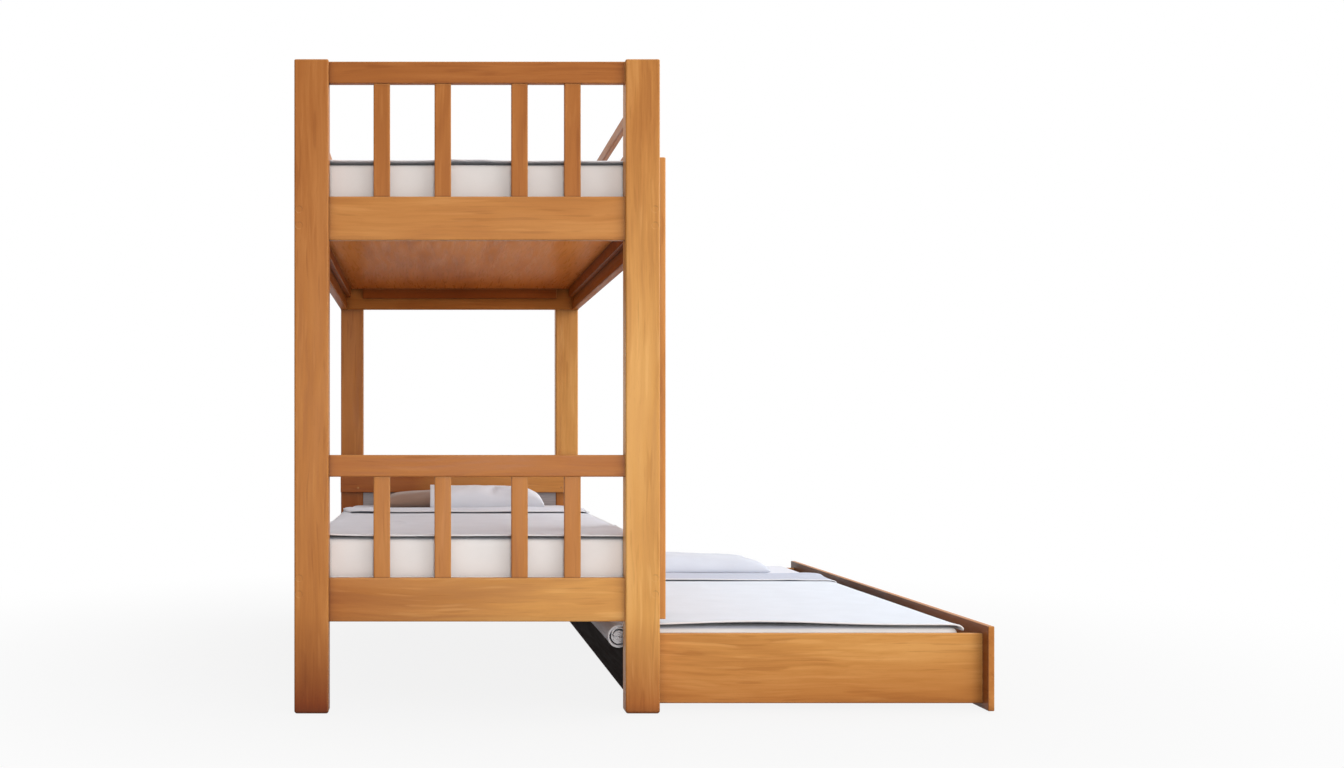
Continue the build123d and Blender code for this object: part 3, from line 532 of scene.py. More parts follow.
def lower_rail_light_and_shade(made):
    """The lower foot rail pales towards the trundle as painted light, and darkens in a band above its lower
    edge as painted shade.
    """
    low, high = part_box("lower_foot_rail")
    early = LOWER_RAIL_EARLY * (high.x - low.x)
    tone = changing_tone(made, X, low.x - early, high.x - early, painted_light_tones(LOWER_RAIL_LIGHT))
    band_top = low.z + LOWER_RAIL_SHADE_BAND * (high.z - low.z)
    band = made.spread(made.parts(made.place)[Z], low.z, band_top, SHADE_BAND_TONE, 1.0)
    return made.mix(1.0, tone, band, blend="MULTIPLY")


def headboard_shade_and_light(made):
    """The headboard is dark at its left end as a painted shadow, and pales towards its right end as painted
    light.
    """
    low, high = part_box("lower_headboard")
    across = made.spread(made.parts(made.place)[X], low.x, high.x, kind="LINEAR")
    shares, stains = zip(*HEADBOARD_SHADE_AND_LIGHT)
    return made.ramp(across, list(zip(shares, painted_light_tones(stains))))


def cloth(name, colour, slub=0.35, upper=None, fold=0.38):
    """Woven cloth with slubs and painted shade in folds and near contacts, and another colour for what faces
    up if one is given.
    """
    made = Finish(name, CLOTH_ROUGHNESS)
    place = made.parts(made.place)
    across = made.math("ADD", place[X], place[Z])
    down = made.math("SUBTRACT", place[Y], place[Z])
    waves = [made.math("SINE", made.math("MULTIPLY", way, 2.0 * pi / THREAD)) for way in (across, down)]
    weave = made.math("MULTIPLY", waves[0], waves[1])
    first, second, third = SLUB_GRAIN
    ways = ((first, second, third), (second, first, third))
    slubs = made.math("ADD", *(made.noise(made.scaled(made.place, way), detail=1.0) for way in ways))
    tone = made.math("ADD", made.noise(made.place, TONE_GRAIN), made.math("MULTIPLY", slubs, SLUB_TONE))
    tinted = made.mix(made.spread(tone, *TONE_RANGE), toned(colour, DARKER_SHARE), rgba(colour))
    if upper:
        facing = made.parts(made.node("ShaderNodeTexCoord").outputs["Normal"])
        tinted = made.mix(made.spread(facing[Z], *UPWARD_FACING), tinted, rgba(upper))
    fold_share = made.spread(made.nearness(FOLD_REACH), *FOLD_FADE, fold, 0.0)
    made.feed(made.shader["Base Color"], made.mix(fold_share, tinted, toned(colour, SHADE_SHARE)))
    for setting, value in zip(("Sheen Weight", "Sheen Roughness"), SHEEN):
        made.shader[setting].default_value = value
    relief = made.math("MULTIPLY", weave, WEAVE_RELIEF)
    made.bump(made.math("ADD", relief, made.math("MULTIPLY", slubs, slub)), *CLOTH_BUMP)
    return made.material


def painted_panel():
    """Grey paint over a thin board, with faint brush marks and painted shade where it meets other parts."""
    made = Finish("grey_paint", 0.6)
    marks = made.noise(made.scaled(made.place, BRUSH_MARKS))
    colour = made.mix(made.spread(marks, *MIDDLE_RANGE), toned(GREY_PAINT, BRUSH_TONE), rgba(GREY_PAINT))
    contact_share = made.spread(made.nearness(CONTACT_REACH), *PAINT_FADE)
    made.feed(made.shader["Base Color"], made.mix(contact_share, colour, rgba(GREY_PANEL_CONTACT_SHADE)))
    made.bump(marks, *PAINT_BUMP)
    return made.material


def plated_steel(name, colour, metallic=1.0):
    """Plated steel with fine brushing and a mottled sheen."""
    made = Finish(name, 0.35, metallic)
    brushing = made.noise(made.scaled(made.place, STEEL_BRUSHING))
    mottle = made.noise(made.place, STEEL_MOTTLE)
    mottled = made.mix(made.spread(mottle, *MIDDLE_RANGE), toned(colour, MOTTLE_TONE), rgba(colour))
    made.feed(made.shader["Base Color"], mottled)
    made.feed(made.shader["Roughness"], made.spread(brushing, *MIDDLE_RANGE, *STEEL_ROUGHNESS))
    made.bump(brushing, *STEEL_BUMP)
    return made.material


def wheel_plastic():
    """Moulded dark plastic with a fine grained skin and dusty patches."""
    made = Finish("wheel_plastic", 0.55)
    skin = made.noise(made.place, PLASTIC_GRAIN)
    dust = made.noise(made.place, PLASTIC_DUST)
    dusted = made.mix(made.spread(dust, *DUST_RANGE), rgba(WHEEL_GREY), toned(WHEEL_GREY, DUST_TONE))
    made.feed(made.shader["Base Color"], dusted)
    made.feed(made.shader["Roughness"], made.spread(dust, *DUST_ROUGHNESS))
    made.bump(skin, *PLASTIC_BUMP)
    return made.material


def give(material, *names):
    """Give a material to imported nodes."""
    for name in names:
        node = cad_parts[name]
        if not node.material_slots:
            node.data.materials.append(material)
        for slot in node.material_slots:
            slot.material = material


# Each board's grain axis and stain; the low stains of the cleats and side rails under the upper deck are
# partly painted shade
BOARDS = {
    "upper_foot_top_rail": (X, 0.78),
    "upper_foot_rail": (X, 1.02),
    "lower_foot_top_rail": (X, 0.81),
    "upper_foot_slats": (Z, 0.84),
    "lower_foot_slats": (Z, 0.93),
    "upper_head_slats": (Z, 0.88),
    "upper_head_top_rail": (X, 0.88),
    "upper_head_rail": (X, 0.87),
    "lower_head_rail": (X, 0.94),
    "upper_side_rail_left": (Y, 0.66),
    "upper_side_rail_right": (Y, 0.66),
    "lower_side_rail_left": (Y, 0.96),
    "lower_side_rail_right": (Y, 1.00),
    "right_guard_bars": (Y, 0.84),
    "left_guard_bars": (Y, 0.90),
    "guard_stiles": (Z, 0.94),
    "ladder_stile_foot": (Z, 1.15),
    "ladder_stile_head": (Z, 1.05),
    "ladder_rungs": (Y, 1.00),
    "trundle_head_panel": (X, 1.00),
    "trundle_bearers": (X, 0.95),
    "trundle_corner_blocks": (Z, 0.95),
    "upper_deck_cleats": (X, 0.52),
    "lower_deck_cleats": (X, 0.90),
}
# Boards inside and behind, which are left without the oil's shine
DULL_BOARDS = (
    "upper_deck_cleats",
    "lower_deck_cleats",
    "upper_side_rail_left",
    "upper_side_rail_right",
    "upper_head_rail",
)


def finish_boards():
    """Every board gets its own piece of the grain."""
    for number, (name, (axis, stain)) in enumerate(BOARDS.items()):
        gloss = DULL_GLOSS if name in DULL_BOARDS else OILED_GLOSS
        give(wood(f"wood_{name}", axis, stain, shift=BOARD_SHIFT * number, gloss=gloss), name)
    posts = [f"post_{end}_{side}" for end in ("foot", "head") for side in ("left", "right")]
    give(wood("wood_posts", Z, tone=post_tone_and_light), *posts)
    give(wood("wood_plugs", Z, edge_light=0.0, tone=post_tone_and_light), "bolt_plugs")
    give(wood("wood_trundle_front", Y, 0.92, shift=4.1, tone=shaded_inside), "trundle_front_panel")
    give(wood("wood_lower_headboard", X, shift=3.3, tone=headboard_shade_and_light), "lower_headboard")
    give(wood("wood_lower_foot_rail", X, 1.08, shift=6.2, tone=lower_rail_light_and_shade), "lower_foot_rail")
    give(wood("wood_trundle_foot", X, 1.09, shift=5.3, tone=trundle_foot_light), "trundle_foot_panel")
    lacquer = {"palette": DECK_WOOD, "gloss": 0.003, "roughness": 0.30, "figured": 0.4}
    decks = ("upper_deck", "lower_deck", "trundle_deck")
    give(wood("lacquered_board", Y, tone=deck_light_and_shade, **lacquer), *decks)
    # The back board's near-black wood is painted shade
    give(wood("dark_board", Y, palette=DEEP_SHADE_WOOD, gloss=0.006, roughness=0.7), "trundle_back_panel")
    give(painted_panel(), "lower_head_panel")
    zinc = plated_steel("zinc_steel", STEEL)
    give(zinc, "ladder_bolts", "rail_bolts", "barrel_nuts", "caster_forks", "caster_axles", "caster_screws")
    give(plated_steel("bronzed_steel", BRONZED_STEEL, metallic=0.5), "wood_screws")
    give(wheel_plastic(), *(f"trundle_wheel_{number}" for number in (1, 2, 3, 4)))


finish_boards()


def placed(name, data):
    """A new object in the scene."""
    made = bpy.data.objects.new(name, data)
    bpy.context.scene.collection.objects.link(made)
    return made


def new_object(name, mesh, material):
    """A smooth-shaded object from a bmesh, which it uses up."""
    data = bpy.data.meshes.new(name)
    mesh.to_mesh(data)
    mesh.free()
    data.polygons.foreach_set("use_smooth", [True] * len(data.polygons))
    data.materials.append(material)
    return placed(name, data)


def subdivided(piece):
    """Add a subdivision surface of one level to a piece."""
    modifier = piece.modifiers.new("smooth", "SUBSURF")
    modifier.levels = modifier.render_levels = 1
    return piece


def thickened(piece, thickness):
    """Give a sheet its thickness, half on each side."""
    modifier = piece.modifiers.new("thickness", "SOLIDIFY")
    modifier.thickness = thickness
    modifier.offset = 0.0
    return piece


def join_rings(mesh, rings):
    """Make the faces between each ring of points and the next."""
    for before, after in zip(rings, rings[1:]):
        for number in range(len(before)):
            onward = (number + 1) % len(before)
            mesh.faces.new((before[number], before[onward], after[onward], after[number]))


def tube(name, line, radius, material):
    """A round cord through a loop of points, whose radius is a function of the point."""
    mesh = bmesh.new()
    rings = []
    count = len(line)
    for number, point in enumerate(line):
        forward = (line[(number + 1) % count] - line[number - 1]).normalized()
        side = forward.cross(Vector((0.0, 0.0, 1.0)))
        side = side.normalized() if side.length > 0.1 else Vector((1.0, 0.0, 0.0))
        up = side.cross(forward)
        angles = [2.0 * pi * step / CORD_SIDES for step in range(CORD_SIDES)]
        reach = radius(point)
        rings.append([mesh.verts.new(point + reach * (cos(a) * side + sin(a) * up)) for a in angles])
    join_rings(mesh, rings + rings[:1])
    bmesh.ops.recalc_face_normals(mesh, faces=mesh.faces)
    return new_object(name, mesh, material)


# Mattresses

def box_grid(cuts):
    """A cube from -1 to 1 whose faces are cut into small quads, closer together towards the edges."""
    mesh = bmesh.new()
    bmesh.ops.create_cube(mesh, size=2.0)
    for axis, count in enumerate(cuts):
        lengthwise = [e for e in mesh.edges if abs(e.verts[0].co[axis] - e.verts[1].co[axis]) > 1.0]
        bmesh.ops.subdivide_edges(mesh, edges=lengthwise, cuts=count, use_grid_fill=True)
    for vertex in mesh.verts:
        for axis, share in enumerate(vertex.co.copy()):
            from_edge = 1.0 - min(abs(share), 1.0)
            vertex.co[axis] = copysign(1.0 - from_edge**EDGE_CROWDING, share)
    return mesh


def round_point(point, half):
    """A point of a box's skin drawn onto the skin of the same box with rounded edges."""
    core = Vector(max(-h + r, min(h - r, p)) for p, h, r in zip(point, half, MATTRESS_RADII))
    lean = Vector((p - c) / r for p, c, r in zip(point, core, MATTRESS_RADII))
    lean.normalize()
    return Vector(c + r * l for c, r, l in zip(core, MATTRESS_RADII, lean))


def seam_line(low, high, height):
    """A loop round a mattress at one height, with its rounded corners."""
    radius = MATTRESS_RADII[X]
    corners = [(high.x, high.y), (low.x, high.y), (low.x, low.y), (high.x, low.y)]
    middle = (low + high) / 2.0
    line = []
    for number, (x, y) in enumerate(corners):
        centre = Vector((x - copysign(radius, x - middle.x), y - copysign(radius, y - middle.y), height))
        for part in range(CORNER_PARTS + 1):
            angle = radians(90.0 * (number + part / CORNER_PARTS))
            line.append(centre + radius * Vector((cos(angle), sin(angle), 0.0)))
        next_x, next_y = corners[(number + 1) % len(corners)]
        run = hypot(next_x - x, next_y - y) - 2.0 * radius
        heading = Vector((next_x - x, next_y - y, 0.0)).normalized()
        start, count = line[-1], int(run / SEAM_STEP)
        line += [start + heading * run * part / count for part in range(1, count)]
    return line


def make_mattress(node, body, seed, cover_cloth):
    """A foam mattress in its cover: softly dented sides and a piped seam round the bottom."""
    low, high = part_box(node)
    half = (high - low) / 2.0
    centre = (low + high) / 2.0
    cuts = [int(2.0 * half.x / MATTRESS_CELL), int(2.0 * half.y / MATTRESS_CELL), MATTRESS_LAYERS]
    mesh = box_grid(cuts)
    for vertex in mesh.verts:
        point = round_point(Vector(share * size for share, size in zip(vertex.co, half)), half)
        where = DENT_COUNT * (centre + point) + Vector((seed, 0.0, 0.0))
        dent = DENT_DEPTH * noise.fractal(where, 1.0, 2.0, 3)
        bulge = SIDE_SWELL * (1.0 - (point.z / half.z) ** 2)
        outward = Vector(((point.x / half.x) ** SIDE_POWER, (point.y / half.y) ** SIDE_POWER, 0.0))
        point += outward * (bulge + dent)
        if vertex.co.z > 0.0:
            point.z -= TOP_DENT_SHARE * abs(dent)
        vertex.co = centre + point
    mattress = subdivided(new_object(f"{node}_cover", mesh, cover_cloth))
    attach(mattress, body)
    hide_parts(node)
    seam = seam_line(low, high, low.z + MATTRESS_RADII[Z])
    piping = tube(f"{node}_piping", seam, lambda point: PIPING_RADIUS, cover_cloth)
    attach(piping, body)


def make_mattresses():
    """The three mattresses, the upper one in a darker copy of the cover as painted shade."""
    # fold: strong painted shade near contacts, such as under the blankets' hems
    looks = {"slub": 0.5, "upper": MATTRESS_TOP, "fold": 0.85}
    pale = cloth("mattress_cover_cloth", MATTRESS_COVER, **looks)
    grey = cloth("upper_mattress_shaded_cover_cloth", UPPER_MATTRESS_SHADED_COVER, **looks)
    make_mattress("upper_mattress", "bunk", 0.0, grey)
    make_mattress("lower_mattress", "bunk", 7.3, pale)
    make_mattress("trundle_mattress", "trundle", 14.6, pale)


make_mattresses()


# Blankets

def crease(x, y, seed):
    """Soft creases in a spread cloth, 0 between them and 1 on their crests."""
    where = Vector((CREASE_COUNTS[X] * x + seed, CREASE_COUNTS[Y] * y - CREASE_SLANT * x, seed))
    slowness, size = CREASE_BENDS
    bend = size * noise.noise(slowness * where)
    narrowness, sharpness = CREASE_SHAPE
    crest = 1.0 - min(abs(noise.noise(where + Vector((bend, -bend, 0.0)))) * narrowness, 1.0)
    patch = smooth_step(*CREASE_PATCHES, noise.noise(PATCH_SCALE * where + Vector((9.1, 3.7, seed))))
    return crest**sharpness * patch


def swell(x, y, seed):
    """The slow rise and fall of a cloth over soft bedding, from 0 to 1."""
    across, lengthwise = SWELL_COUNTS
    return 0.5 + 0.5 * noise.noise(Vector((across * x - seed, lengthwise * y + seed, 0.5 * seed)))


def steps(start, finish, cell):
    """Even stations from start to finish, about a cell apart."""
    count = max(1, ceil(abs(finish - start) / cell))
    return [start + (finish - start) * number / count for number in range(count + 1)]


class Spread:
    """One blanket: the stations along it, the columns across it, and how it lies on its bed."""

    # How quickly the turned-back layer settles behind the fold
    FOLD_EASE = 0.04
    # How far the side edges droop, and how far in from them
    DROOP = 0.003
    DROOP_REACH = 0.02
    # How high the creases and the slow swells stand
    CREASE_RISE = 0.004
    SWELL_RISE = 0.003
    # How far in from the turned-back hem and from the foot hem the cloth lifts
    TURN_REACH = 0.03
    FOOT_REACH = 0.045
    LEAST_LIFT = 0.35
    LIFT_COUNT = 3.3
    LIFT_RANGE = (-0.35, 0.3)
    # How far the turned-back layer's left end is drawn in, and along how much of its hem
    ASKEW = 0.040
    ASKEW_REACH = 0.3
    # How the turned-back hem and the foot hem wander: counts per metre and how far
    TURN_WANDER = (2.2, 0.0060)
    FOOT_WANDER = (4.0, 0.0025)
    WANDER_REACH = 0.1
    # Where the foot's full hem starts to flatten and is flat, before the turned-back layer
    HEM_FLATTENING = (0.20, 0.02)

    def __init__(self, bed, body, seed, edges, cloths, slot):
        self.node, self.bed = f"{bed}_blanket", f"{bed}_mattress"
        self.body, self.seed, self.slot = body, seed, slot
        self.hem_lift, self.turn_lift, self.full_hem = edges
        self.cloth, self.reverse, self.hem_cloth = cloths
        self.low, self.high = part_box(self.node)
        self.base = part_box(self.bed)[1].z + CLOTH_THICK
        self.left, self.right = self.low.x, self.high.x
        self.fold_y = self.high.y - FOLD_RADIUS
        self.turn_y = self.high.y - TURNED_LENGTH

    def stations(self):
        """Points up the bed, round the fold at the head and back down, as (y, rise, whether turned back)."""
        found = [(y, 0.0, False) for y in steps(self.low.y, self.fold_y, SHEET_CELL)]
        for part in range(1, FOLD_PARTS):
            angle = pi * part / FOLD_PARTS
            rise = FOLD_RADIUS * (1.0 - cos(angle))
            found.append((self.fold_y + FOLD_RADIUS * sin(angle), rise, part > FOLD_PARTS / 2))
        laid = CLOTH_THICK + LAID_GAP
        for y in steps(self.fold_y, self.turn_y, SHEET_CELL):
            ease = exp(-(self.fold_y - y) / self.FOLD_EASE)
            found.append((y, laid + (2.0 * FOLD_RADIUS - laid) * ease, True))
        return found

    def columns(self):
        """Points across the bed, as (x, drop, looseness)."""
        return [(x, 0.0, 1.0) for x in steps(self.left, self.right, SHEET_CELL)]

    def point(self, station, column):
        """Where the cloth's middle lies at a station and a column."""
        y, rise, turned = station
        x, drop, loose = column
        drop += self.DROOP * (1.0 - smooth_step(0.0, self.DROOP_REACH, min(x - self.left, self.right - x)))
        rise += loose * self.CREASE_RISE * crease(x, y, self.seed)
        rise += loose * self.SWELL_RISE * swell(x, y, self.seed)
        wave = self.wave(x)
        if turned:
            from_turn = y - self.turn_y
            rise += loose * self.CREASE_RISE * crease(x, y, self.seed + 5.0)
            rise += self.turn_lift * wave * exp(-((from_turn / self.TURN_REACH) ** 2))
            askew = 1.0 - smooth_step(0.0, TURNED_LENGTH, from_turn)
            x += self.ASKEW * askew * (1.0 - smooth_step(self.left, self.left + self.ASKEW_REACH, x))
            count, far = self.TURN_WANDER
            y += far * askew * noise.noise(Vector((count * x, 0.0, self.seed)))
        else:
            from_foot = y - self.low.y
            rise += self.hem_lift * wave * loose * exp(-((from_foot / self.FOOT_REACH) ** 2))
            count, far = self.FOOT_WANDER
            wander = far * noise.noise(Vector((count * x, self.seed, 1.0)))
            y += wander * exp(-((from_foot / self.WANDER_REACH) ** 2))
        return Vector((x, y, self.base + rise - drop))

    def hem_radius(self, point):
        """The hem is full at the foot and flat where the cloth is turned back."""
        starts, ends = (self.turn_y - distance for distance in self.HEM_FLATTENING)
        flat_share = smooth_step(starts, ends, point.y)
        return self.full_hem + (FLAT_HEM_RADIUS - self.full_hem) * flat_share

    def wave(self, x):
        """How far the free edges lift at this place across the bed, as a share."""
        lift = smooth_step(*self.LIFT_RANGE, noise.noise(Vector((self.LIFT_COUNT * x, self.seed, 4.2))))
        return self.LEAST_LIFT + (1.0 - self.LEAST_LIFT) * lift

    def shown(self, station, column):
        """Whether the cloth covers the cell that starts here."""
        return True

    def make(self):
        """The cloth and its hem, with the width of its widest row and its area."""
        stations, columns = self.stations(), self.columns()
        mesh = bmesh.new()
        grid = [[mesh.verts.new(self.point(s, c)) for c in columns] for s in stations]
        width = max(sum((b.co - a.co).length for a, b in zip(row, row[1:])) for row in grid)
        for number, (here, onward) in enumerate(zip(grid, grid[1:])):
            before, after = stations[number], stations[number + 1]
            for place, column in enumerate(columns[:-1]):
                if self.shown(before, column) and self.shown(after, column):
                    corners = (here[place], here[place + 1], onward[place + 1], onward[place])
                    mesh.faces.new(corners).material_index = 1 if before[2] else 0
        bmesh.ops.delete(mesh, geom=[v for v in mesh.verts if not v.link_faces], context="VERTS")
        edge_line = boundary(mesh)
        area = sum(face.calc_area() for face in mesh.faces)
        sheet = new_object(f"{self.node}_cloth", mesh, self.cloth)
        sheet.data.materials.append(self.reverse)
        subdivided(thickened(sheet, CLOTH_THICK))
        hem = subdivided(tube(f"{self.node}_hem", edge_line, self.hem_radius, self.hem_cloth))
        for piece in (sheet, hem):
            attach(piece, self.body)
        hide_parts(self.node)
        return sheet, hem, width, area


def boundary(mesh):
    """The open edge of a sheet as one loop of points."""
    edges = [e for e in mesh.edges if e.is_boundary]
    start = edges[0].verts[0]
    line, vertex, before = [], start, None
    while True:
        line.append(vertex.co.copy())
        onward = next(e for e in vertex.link_edges if e.is_boundary and e is not before)
        vertex, before = onward.other_vert(vertex), onward
        if vertex is start:
            return line


class RolledSpread(Spread):
    """The trundle's blanket, which also rolls over the back board and tucks down beside the front board."""

    # The roll: its radius, the pitch of its turns, the gap inside its outer turn, and its angles in degrees
    ROLL_RADIUS = 0.0305
    ROLL_PITCH = 0.0050
    ROLL_GAP = 0.0055
    GAP_ANGLES = (360, 480)
    ROLL_TURN = 1620
    ROLL_STEP = 15
    # How far beyond the mattress its axis lies, how far the cloth falls on the way, and where it starts
    ROLL_REACH = 0.054
    ROLL_FALL = 0.001
    ROLL_START = 0.024
    RIM_RADIUS = 0.0042
    COIL_RADIUS = 0.0036
    COIL_PITCHES = 1.2
    # The tuck beside the front board
    FRONT_GAP = 0.004
    TUCK_RADIUS = 0.010
    TUCK_ANGLES = (25, 50, 75, 90)
    # How loose the cloth is in the roll, over the back board and in the tuck
    LOOSENESS = (0.2, 0.4, 0.3)
    # The foot hem's one crest, as a share of the width, and how far it reaches
    HEM_CREST_SHARE = 0.38
    HEM_CREST_REACH = 0.24
    LEAST_LIFT = 0.18

    def __init__(self, *given):
        super().__init__(*given)
        low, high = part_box(self.bed)
        self.left, self.right = low.x, high.x - self.FRONT_GAP
        self.axis_x = self.left - self.ROLL_REACH

    def columns(self):
        in_roll, over, in_tuck = self.LOOSENESS
        found = []
        for angle in range(self.ROLL_TURN, 0, -self.ROLL_STEP):
            turn = radians(angle)
            gap = self.ROLL_GAP * smooth_step(*self.GAP_ANGLES, angle)
            radius = self.ROLL_RADIUS - self.ROLL_PITCH * angle / 360 - gap
            drop = self.ROLL_FALL + self.ROLL_RADIUS - radius * cos(turn)
            found.append((self.axis_x - radius * sin(turn), drop, in_roll))
        for x in steps(self.axis_x, self.left, SHEET_CELL)[:-1]:
            found.append((x, self.ROLL_FALL * smooth_step(0.0, self.ROLL_REACH, self.left - x), over))
        found += super().columns()
        for angle in self.TUCK_ANGLES:
            turn = radians(angle)
            drop = self.TUCK_RADIUS * (1.0 - cos(turn))
            found.append((self.right + self.TUCK_RADIUS * sin(turn), drop, in_tuck))
        return found

    def wave(self, x):
        crest = self.left + self.HEM_CREST_SHARE * (self.right - self.left)
        lift = exp(-(((x - crest) / self.HEM_CREST_REACH) ** 2))
        return self.LEAST_LIFT + (1.0 - self.LEAST_LIFT) * lift

    def hem_radius(self, point):
        """The hem is full round the roll's rim and close-packed in its coil."""
        axis_z = self.base - self.ROLL_FALL - self.ROLL_RADIUS
        reach = hypot(point.x - self.axis_x, point.z - axis_z)
        if reach > self.ROLL_RADIUS + self.ROLL_PITCH:
            return super().hem_radius(point)
        at_rim = reach > self.ROLL_RADIUS - self.COIL_PITCHES * self.ROLL_PITCH
        return self.RIM_RADIUS if at_rim else self.COIL_RADIUS

    def shown(self, station, column):
        y, _, turned = station
        over = column[0] < self.left
        return not over or (not turned and self.low.y + self.ROLL_START < y < self.turn_y)


def make_blankets():
    """The three blankets."""
    lower = cloth("lower_blanket_cloth", LOWER_CLOTH)
    upper = cloth("upper_blanket_cloth", UPPER_CLOTH)
    trundle = cloth("trundle_blanket_cloth", TRUNDLE_CLOTH)
    edging = cloth("hem_cloth", HEM_CLOTH)
    # The turned-back layer's darker cloth is painted shade
    reverse = cloth("trundle_blanket_shaded_reverse", TRUNDLE_SHADED_REVERSE)
    blankets = [
        Spread("upper", "bunk", 2.1, UPPER_EDGES, (upper, upper, edging), "blanket_cloth"),
        Spread("lower", "bunk", 5.4, LOWER_EDGES, (lower, lower, edging), "blanket_cloth"),
        RolledSpread("trundle", "trundle", 8.8, TRUNDLE_EDGES, (trundle, reverse, edging), "trundle_cloth"),
    ]
    for spread in blankets:
        sheet, hem, width, area = spread.make()


make_blankets()


# Pillows

def pillow_mesh(low, high, steep, seam_share, lean):
    """Two domed panels sewn round their edges, steeper towards some sides than others."""
    centre, half = (low + high) / 2.0, (high - low) / 2.0
    seam = low.z + seam_share * (high.z - low.z)
    mesh = bmesh.new()
    shares = [-1.0 + 2.0 * number / PILLOW_CELLS for number in range(PILLOW_CELLS + 1)]
    for way, tall in ((1.0, high.z - seam), (-1.0, seam - low.z)):
        rows = []
        for v in shares:
            row = []
            for u in shares:
                rise = 1.0 - max(0.0, lean * (u - LEAN_START)) if way > 0.0 else 1.0
                for share, powers in ((u, steep[0:2]), (v, steep[2:4])):
                    power = powers[0] if share < 0.0 else powers[1]
                    rise *= max(0.0, 1.0 - abs(share) ** power) ** 0.5
                x = centre.x + half.x * u * (1.0 - PILLOW_DRAW[X] * (1.0 - v * v))
                y = centre.y + half.y * v * (1.0 - PILLOW_DRAW[Y] * (1.0 - u * u))
                row.append(mesh.verts.new((x, y, seam + way * tall * rise)))
            rows.append(row)
        for before, after in zip(rows, rows[1:]):
            for across in range(PILLOW_CELLS):
                corners = [before[across], before[across + 1], after[across + 1], after[across]]
                mesh.faces.new(corners if way > 0.0 else reversed(corners))
    bmesh.ops.remove_doubles(mesh, verts=mesh.verts, dist=MERGE_DISTANCE)
    return mesh


def simulate(piece, cap):
    """Inflate a pillow as cloth for a few frames, and move no point further than the cap."""
    rest = [vertex.co.copy() for vertex in piece.data.vertices]
    modifier = piece.modifiers.new("inflate", "CLOTH")
    for setting, value in INFLATE.items():
        setattr(modifier.settings, setting, value)
    modifier.settings.effector_weights.gravity = 0.0
    scene = bpy.context.scene
    for number in range(1, INFLATE_FRAMES + 1):
        scene.frame_set(number)
    shaped = piece.evaluated_get(bpy.context.evaluated_depsgraph_get())
    moved = [vertex.co.copy() for vertex in shaped.data.vertices]
    piece.modifiers.remove(modifier)
    scene.frame_set(1)
    for vertex, before, after in zip(piece.data.vertices, rest, moved):
        step = after - before
        vertex.co = before + (step if step.length <= cap else step * cap / step.length)


def settle(piece, low, high):
    """Bring an inflated pillow back into its place, flat underneath."""
    points = [vertex.co for vertex in piece.data.vertices]
    for axis in (X, Y):
        lowest, highest = min(p[axis] for p in points), max(p[axis] for p in points)
        size = (high[axis] - low[axis]) / (highest - lowest)
        for point in points:
            point[axis] = low[axis] + (point[axis] - lowest) * size
    size = (high.z - low.z) / (max(p.z for p in points) - low.z)
    for point in points:
        rumple = PILLOW_RUMPLE * noise.fractal(point * RUMPLE_COUNT, 1.0, 2.0, 3)
        height = (point.z - low.z) * size + rumple * smooth_step(low.z, high.z, point.z)
        point.z = low.z + max(0.0, height)
    piece.data.update()


def make_pillow(node, body, material, slot, steep, fill, seam_share=0.36, lean=0.0, spill=0.0):
    """A pillow in its case, whose right end may spill a little past its solid's."""
    low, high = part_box(node)
    high.x += spill
    pillow = new_object(f"{node}_case", pillow_mesh(low, high, steep, seam_share, lean), material)
    simulate(pillow, PILLOW_CAP)
    settle(pillow, low, high)
    subdivided(pillow)
    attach(pillow, body)
    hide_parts(node)
    return pillow


def add_case_end(pillow, node, body, material):
    """The open end of a pillow's case: a hemmed band at the pillow's left end."""
    low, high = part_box(node)
    mesh = bmesh.new()
    mesh.from_mesh(pillow.data)
    cut = low.x + CASE_END_WIDTH
    everything = [*mesh.verts, *mesh.edges, *mesh.faces]
    plane = {"plane_co": (cut, 0.0, 0.0), "plane_no": (1.0, 0.0, 0.0)}
    bmesh.ops.bisect_plane(mesh, geom=everything, clear_inner=True, **plane)
    line = boundary(mesh)
    mesh.free()
    middle = sum(line, Vector()) / len(line)
    lift = (high.z - low.z) / (max(point.z for point in line) - low.z)
    least, most = CLOTH_THICK / 4.0, high.z - low.z - CLOTH_THICK / 4.0
    band = bmesh.new()
    rings = []
    for x in (cut + CASE_END_LAP, cut - CASE_END_LAP, (cut + low.x) / 2.0, low.x + CASE_END_RIM, low.x):
        ring = []
        for point in line:
            out = Vector((0.0, point.y - middle.y, point.z - middle.z)).normalized() * CASE_END_PROUD
            height = min(max(least, lift * (point.z - low.z) + out.z), most)
            ring.append(band.verts.new((x, point.y + out.y, low.z + height)))
        rings.append(ring)
    join_rings(band, rings)
    piece = subdivided(thickened(new_object(f"{node}_case_end", band, material), CLOTH_THICK / 2.0))
    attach(piece, body)


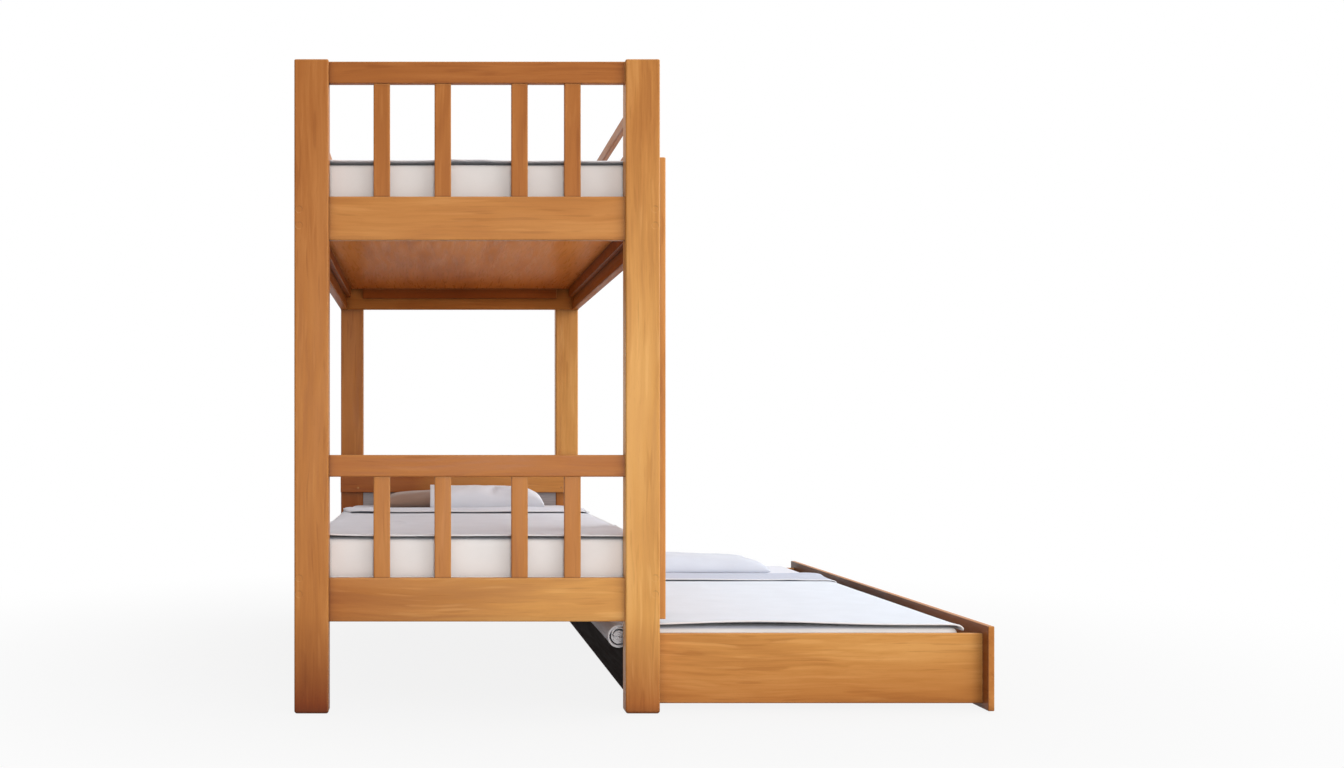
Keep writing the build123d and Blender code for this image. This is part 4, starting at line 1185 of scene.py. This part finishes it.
def make_pillows():
    """The four pillows: how steeply each falls towards its left, right, foot and head sides."""
    pale = cloth("pillow_case_cloth", PILLOW_CLOTH)
    taupe = cloth("taupe_shaded_case_cloth", TAUPE_SHADED_CLOTH)
    ends = (30.0, 6.0, 6.0, 4.0)
    shape = {"seam_share": 0.24, "lean": 0.07, "spill": 0.012}
    front = make_pillow("lower_front_pillow", "bunk", pale, "pillow_cloth", ends, 0.8, **shape)
    add_case_end(front, "lower_front_pillow", "bunk", cloth("case_end_cloth", HEM_CLOTH))
    # The back pillow's taupe case is darkened as painted shade
    make_pillow("lower_back_pillow", "bunk", taupe, "taupe_cloth", (2.2, 3.0, 4.0, 3.0), 0.6)
    make_pillow("upper_pillow", "bunk", pale, "pillow_cloth", (3.0, 3.0, 4.0, 3.0), 0.7)
    ends = (4.0, 24.0, 4.0, 4.0)
    shape = {"seam_share": 0.22, "lean": 0.24}
    cool = cloth("trundle_pillow_cloth", TRUNDLE_PILLOW_CLOTH)
    make_pillow("trundle_pillow", "trundle", cool, "pillow_cloth", ends, 0.5, **shape)


make_pillows()


# Floor, light and camera

def make_floor():
    """A pale floor that keeps the bed's shadow and turns white further away."""
    mesh = bmesh.new()
    bmesh.ops.create_circle(mesh, cap_ends=True, segments=96, radius=FLOOR_RADIUS)
    made = Finish("floor", 0.9)
    made.shader["Base Color"].default_value = rgba(FLOOR_PALE)
    made.shader["Specular IOR Level"].default_value = 0.1
    distance = made.node("ShaderNodeVectorMath", {0: made.place}, operation="LENGTH").outputs["Value"]
    share = made.math("MULTIPLY", made.seen(), made.spread(distance, *FLOOR_WHITE))
    plain = made.tree.nodes["Principled BSDF"]
    glow = made.node("ShaderNodeEmission", {"Color": rgba(WHITE)})
    blend = made.node("ShaderNodeMixShader", {0: share, 1: plain.outputs[0], 2: glow.outputs[0]})
    made.feed(made.tree.nodes["Material Output"].inputs["Surface"], blend.outputs[0])
    floor = new_object("floor", mesh, made.material)
    floor.location.z = -FLOOR_DROP


def make_world():
    """A surround that is white to the camera and in reflections, and lights more from one side."""
    world = bpy.data.worlds.new("studio")
    bpy.context.scene.world = world
    world.use_nodes = True
    made = Nodes(world.node_tree)
    heading = made.parts(made.node("ShaderNodeTexCoord").outputs["Generated"])
    side = made.spread(heading[X], -1.0, 1.0, *SURROUND, kind="LINEAR")
    background = made.tree.nodes["Background"].inputs
    background["Color"].default_value = rgba(WHITE)
    made.feed(background["Strength"], made.spread(made.seen(), 0.0, 1.0, side, 1.0, kind="LINEAR"))


def make_lamp(name, place, aim, size, power):
    """A soft square lamp that faces a point."""
    data = bpy.data.lights.new(name, "AREA")
    data.size = size
    data.energy = power
    lamp = placed(name, data)
    lamp.location = place
    lamp.rotation_euler = (Vector(aim) - Vector(place)).to_track_quat("-Z", "Y").to_euler()


def make_camera():
    """The photograph's view: level and straight along the bed from its foot end."""
    data = bpy.data.cameras.new("camera")
    data.sensor_width = SENSOR_WIDTH
    data.lens = LENS
    data.shift_x, data.shift_y = (shift / PHOTO_WIDTH for shift in PHOTO_SHIFT)
    camera = placed("camera", data)
    camera.location = CAMERA_PLACE
    camera.rotation_euler = (radians(90.0), 0.0, 0.0)
    bpy.context.scene.camera = camera


make_floor()
make_world()
for lamp_name, lamp_values in LAMPS.items():
    make_lamp(lamp_name, *lamp_values)
make_camera()
bpy.context.scene.view_settings.view_transform = "Standard"
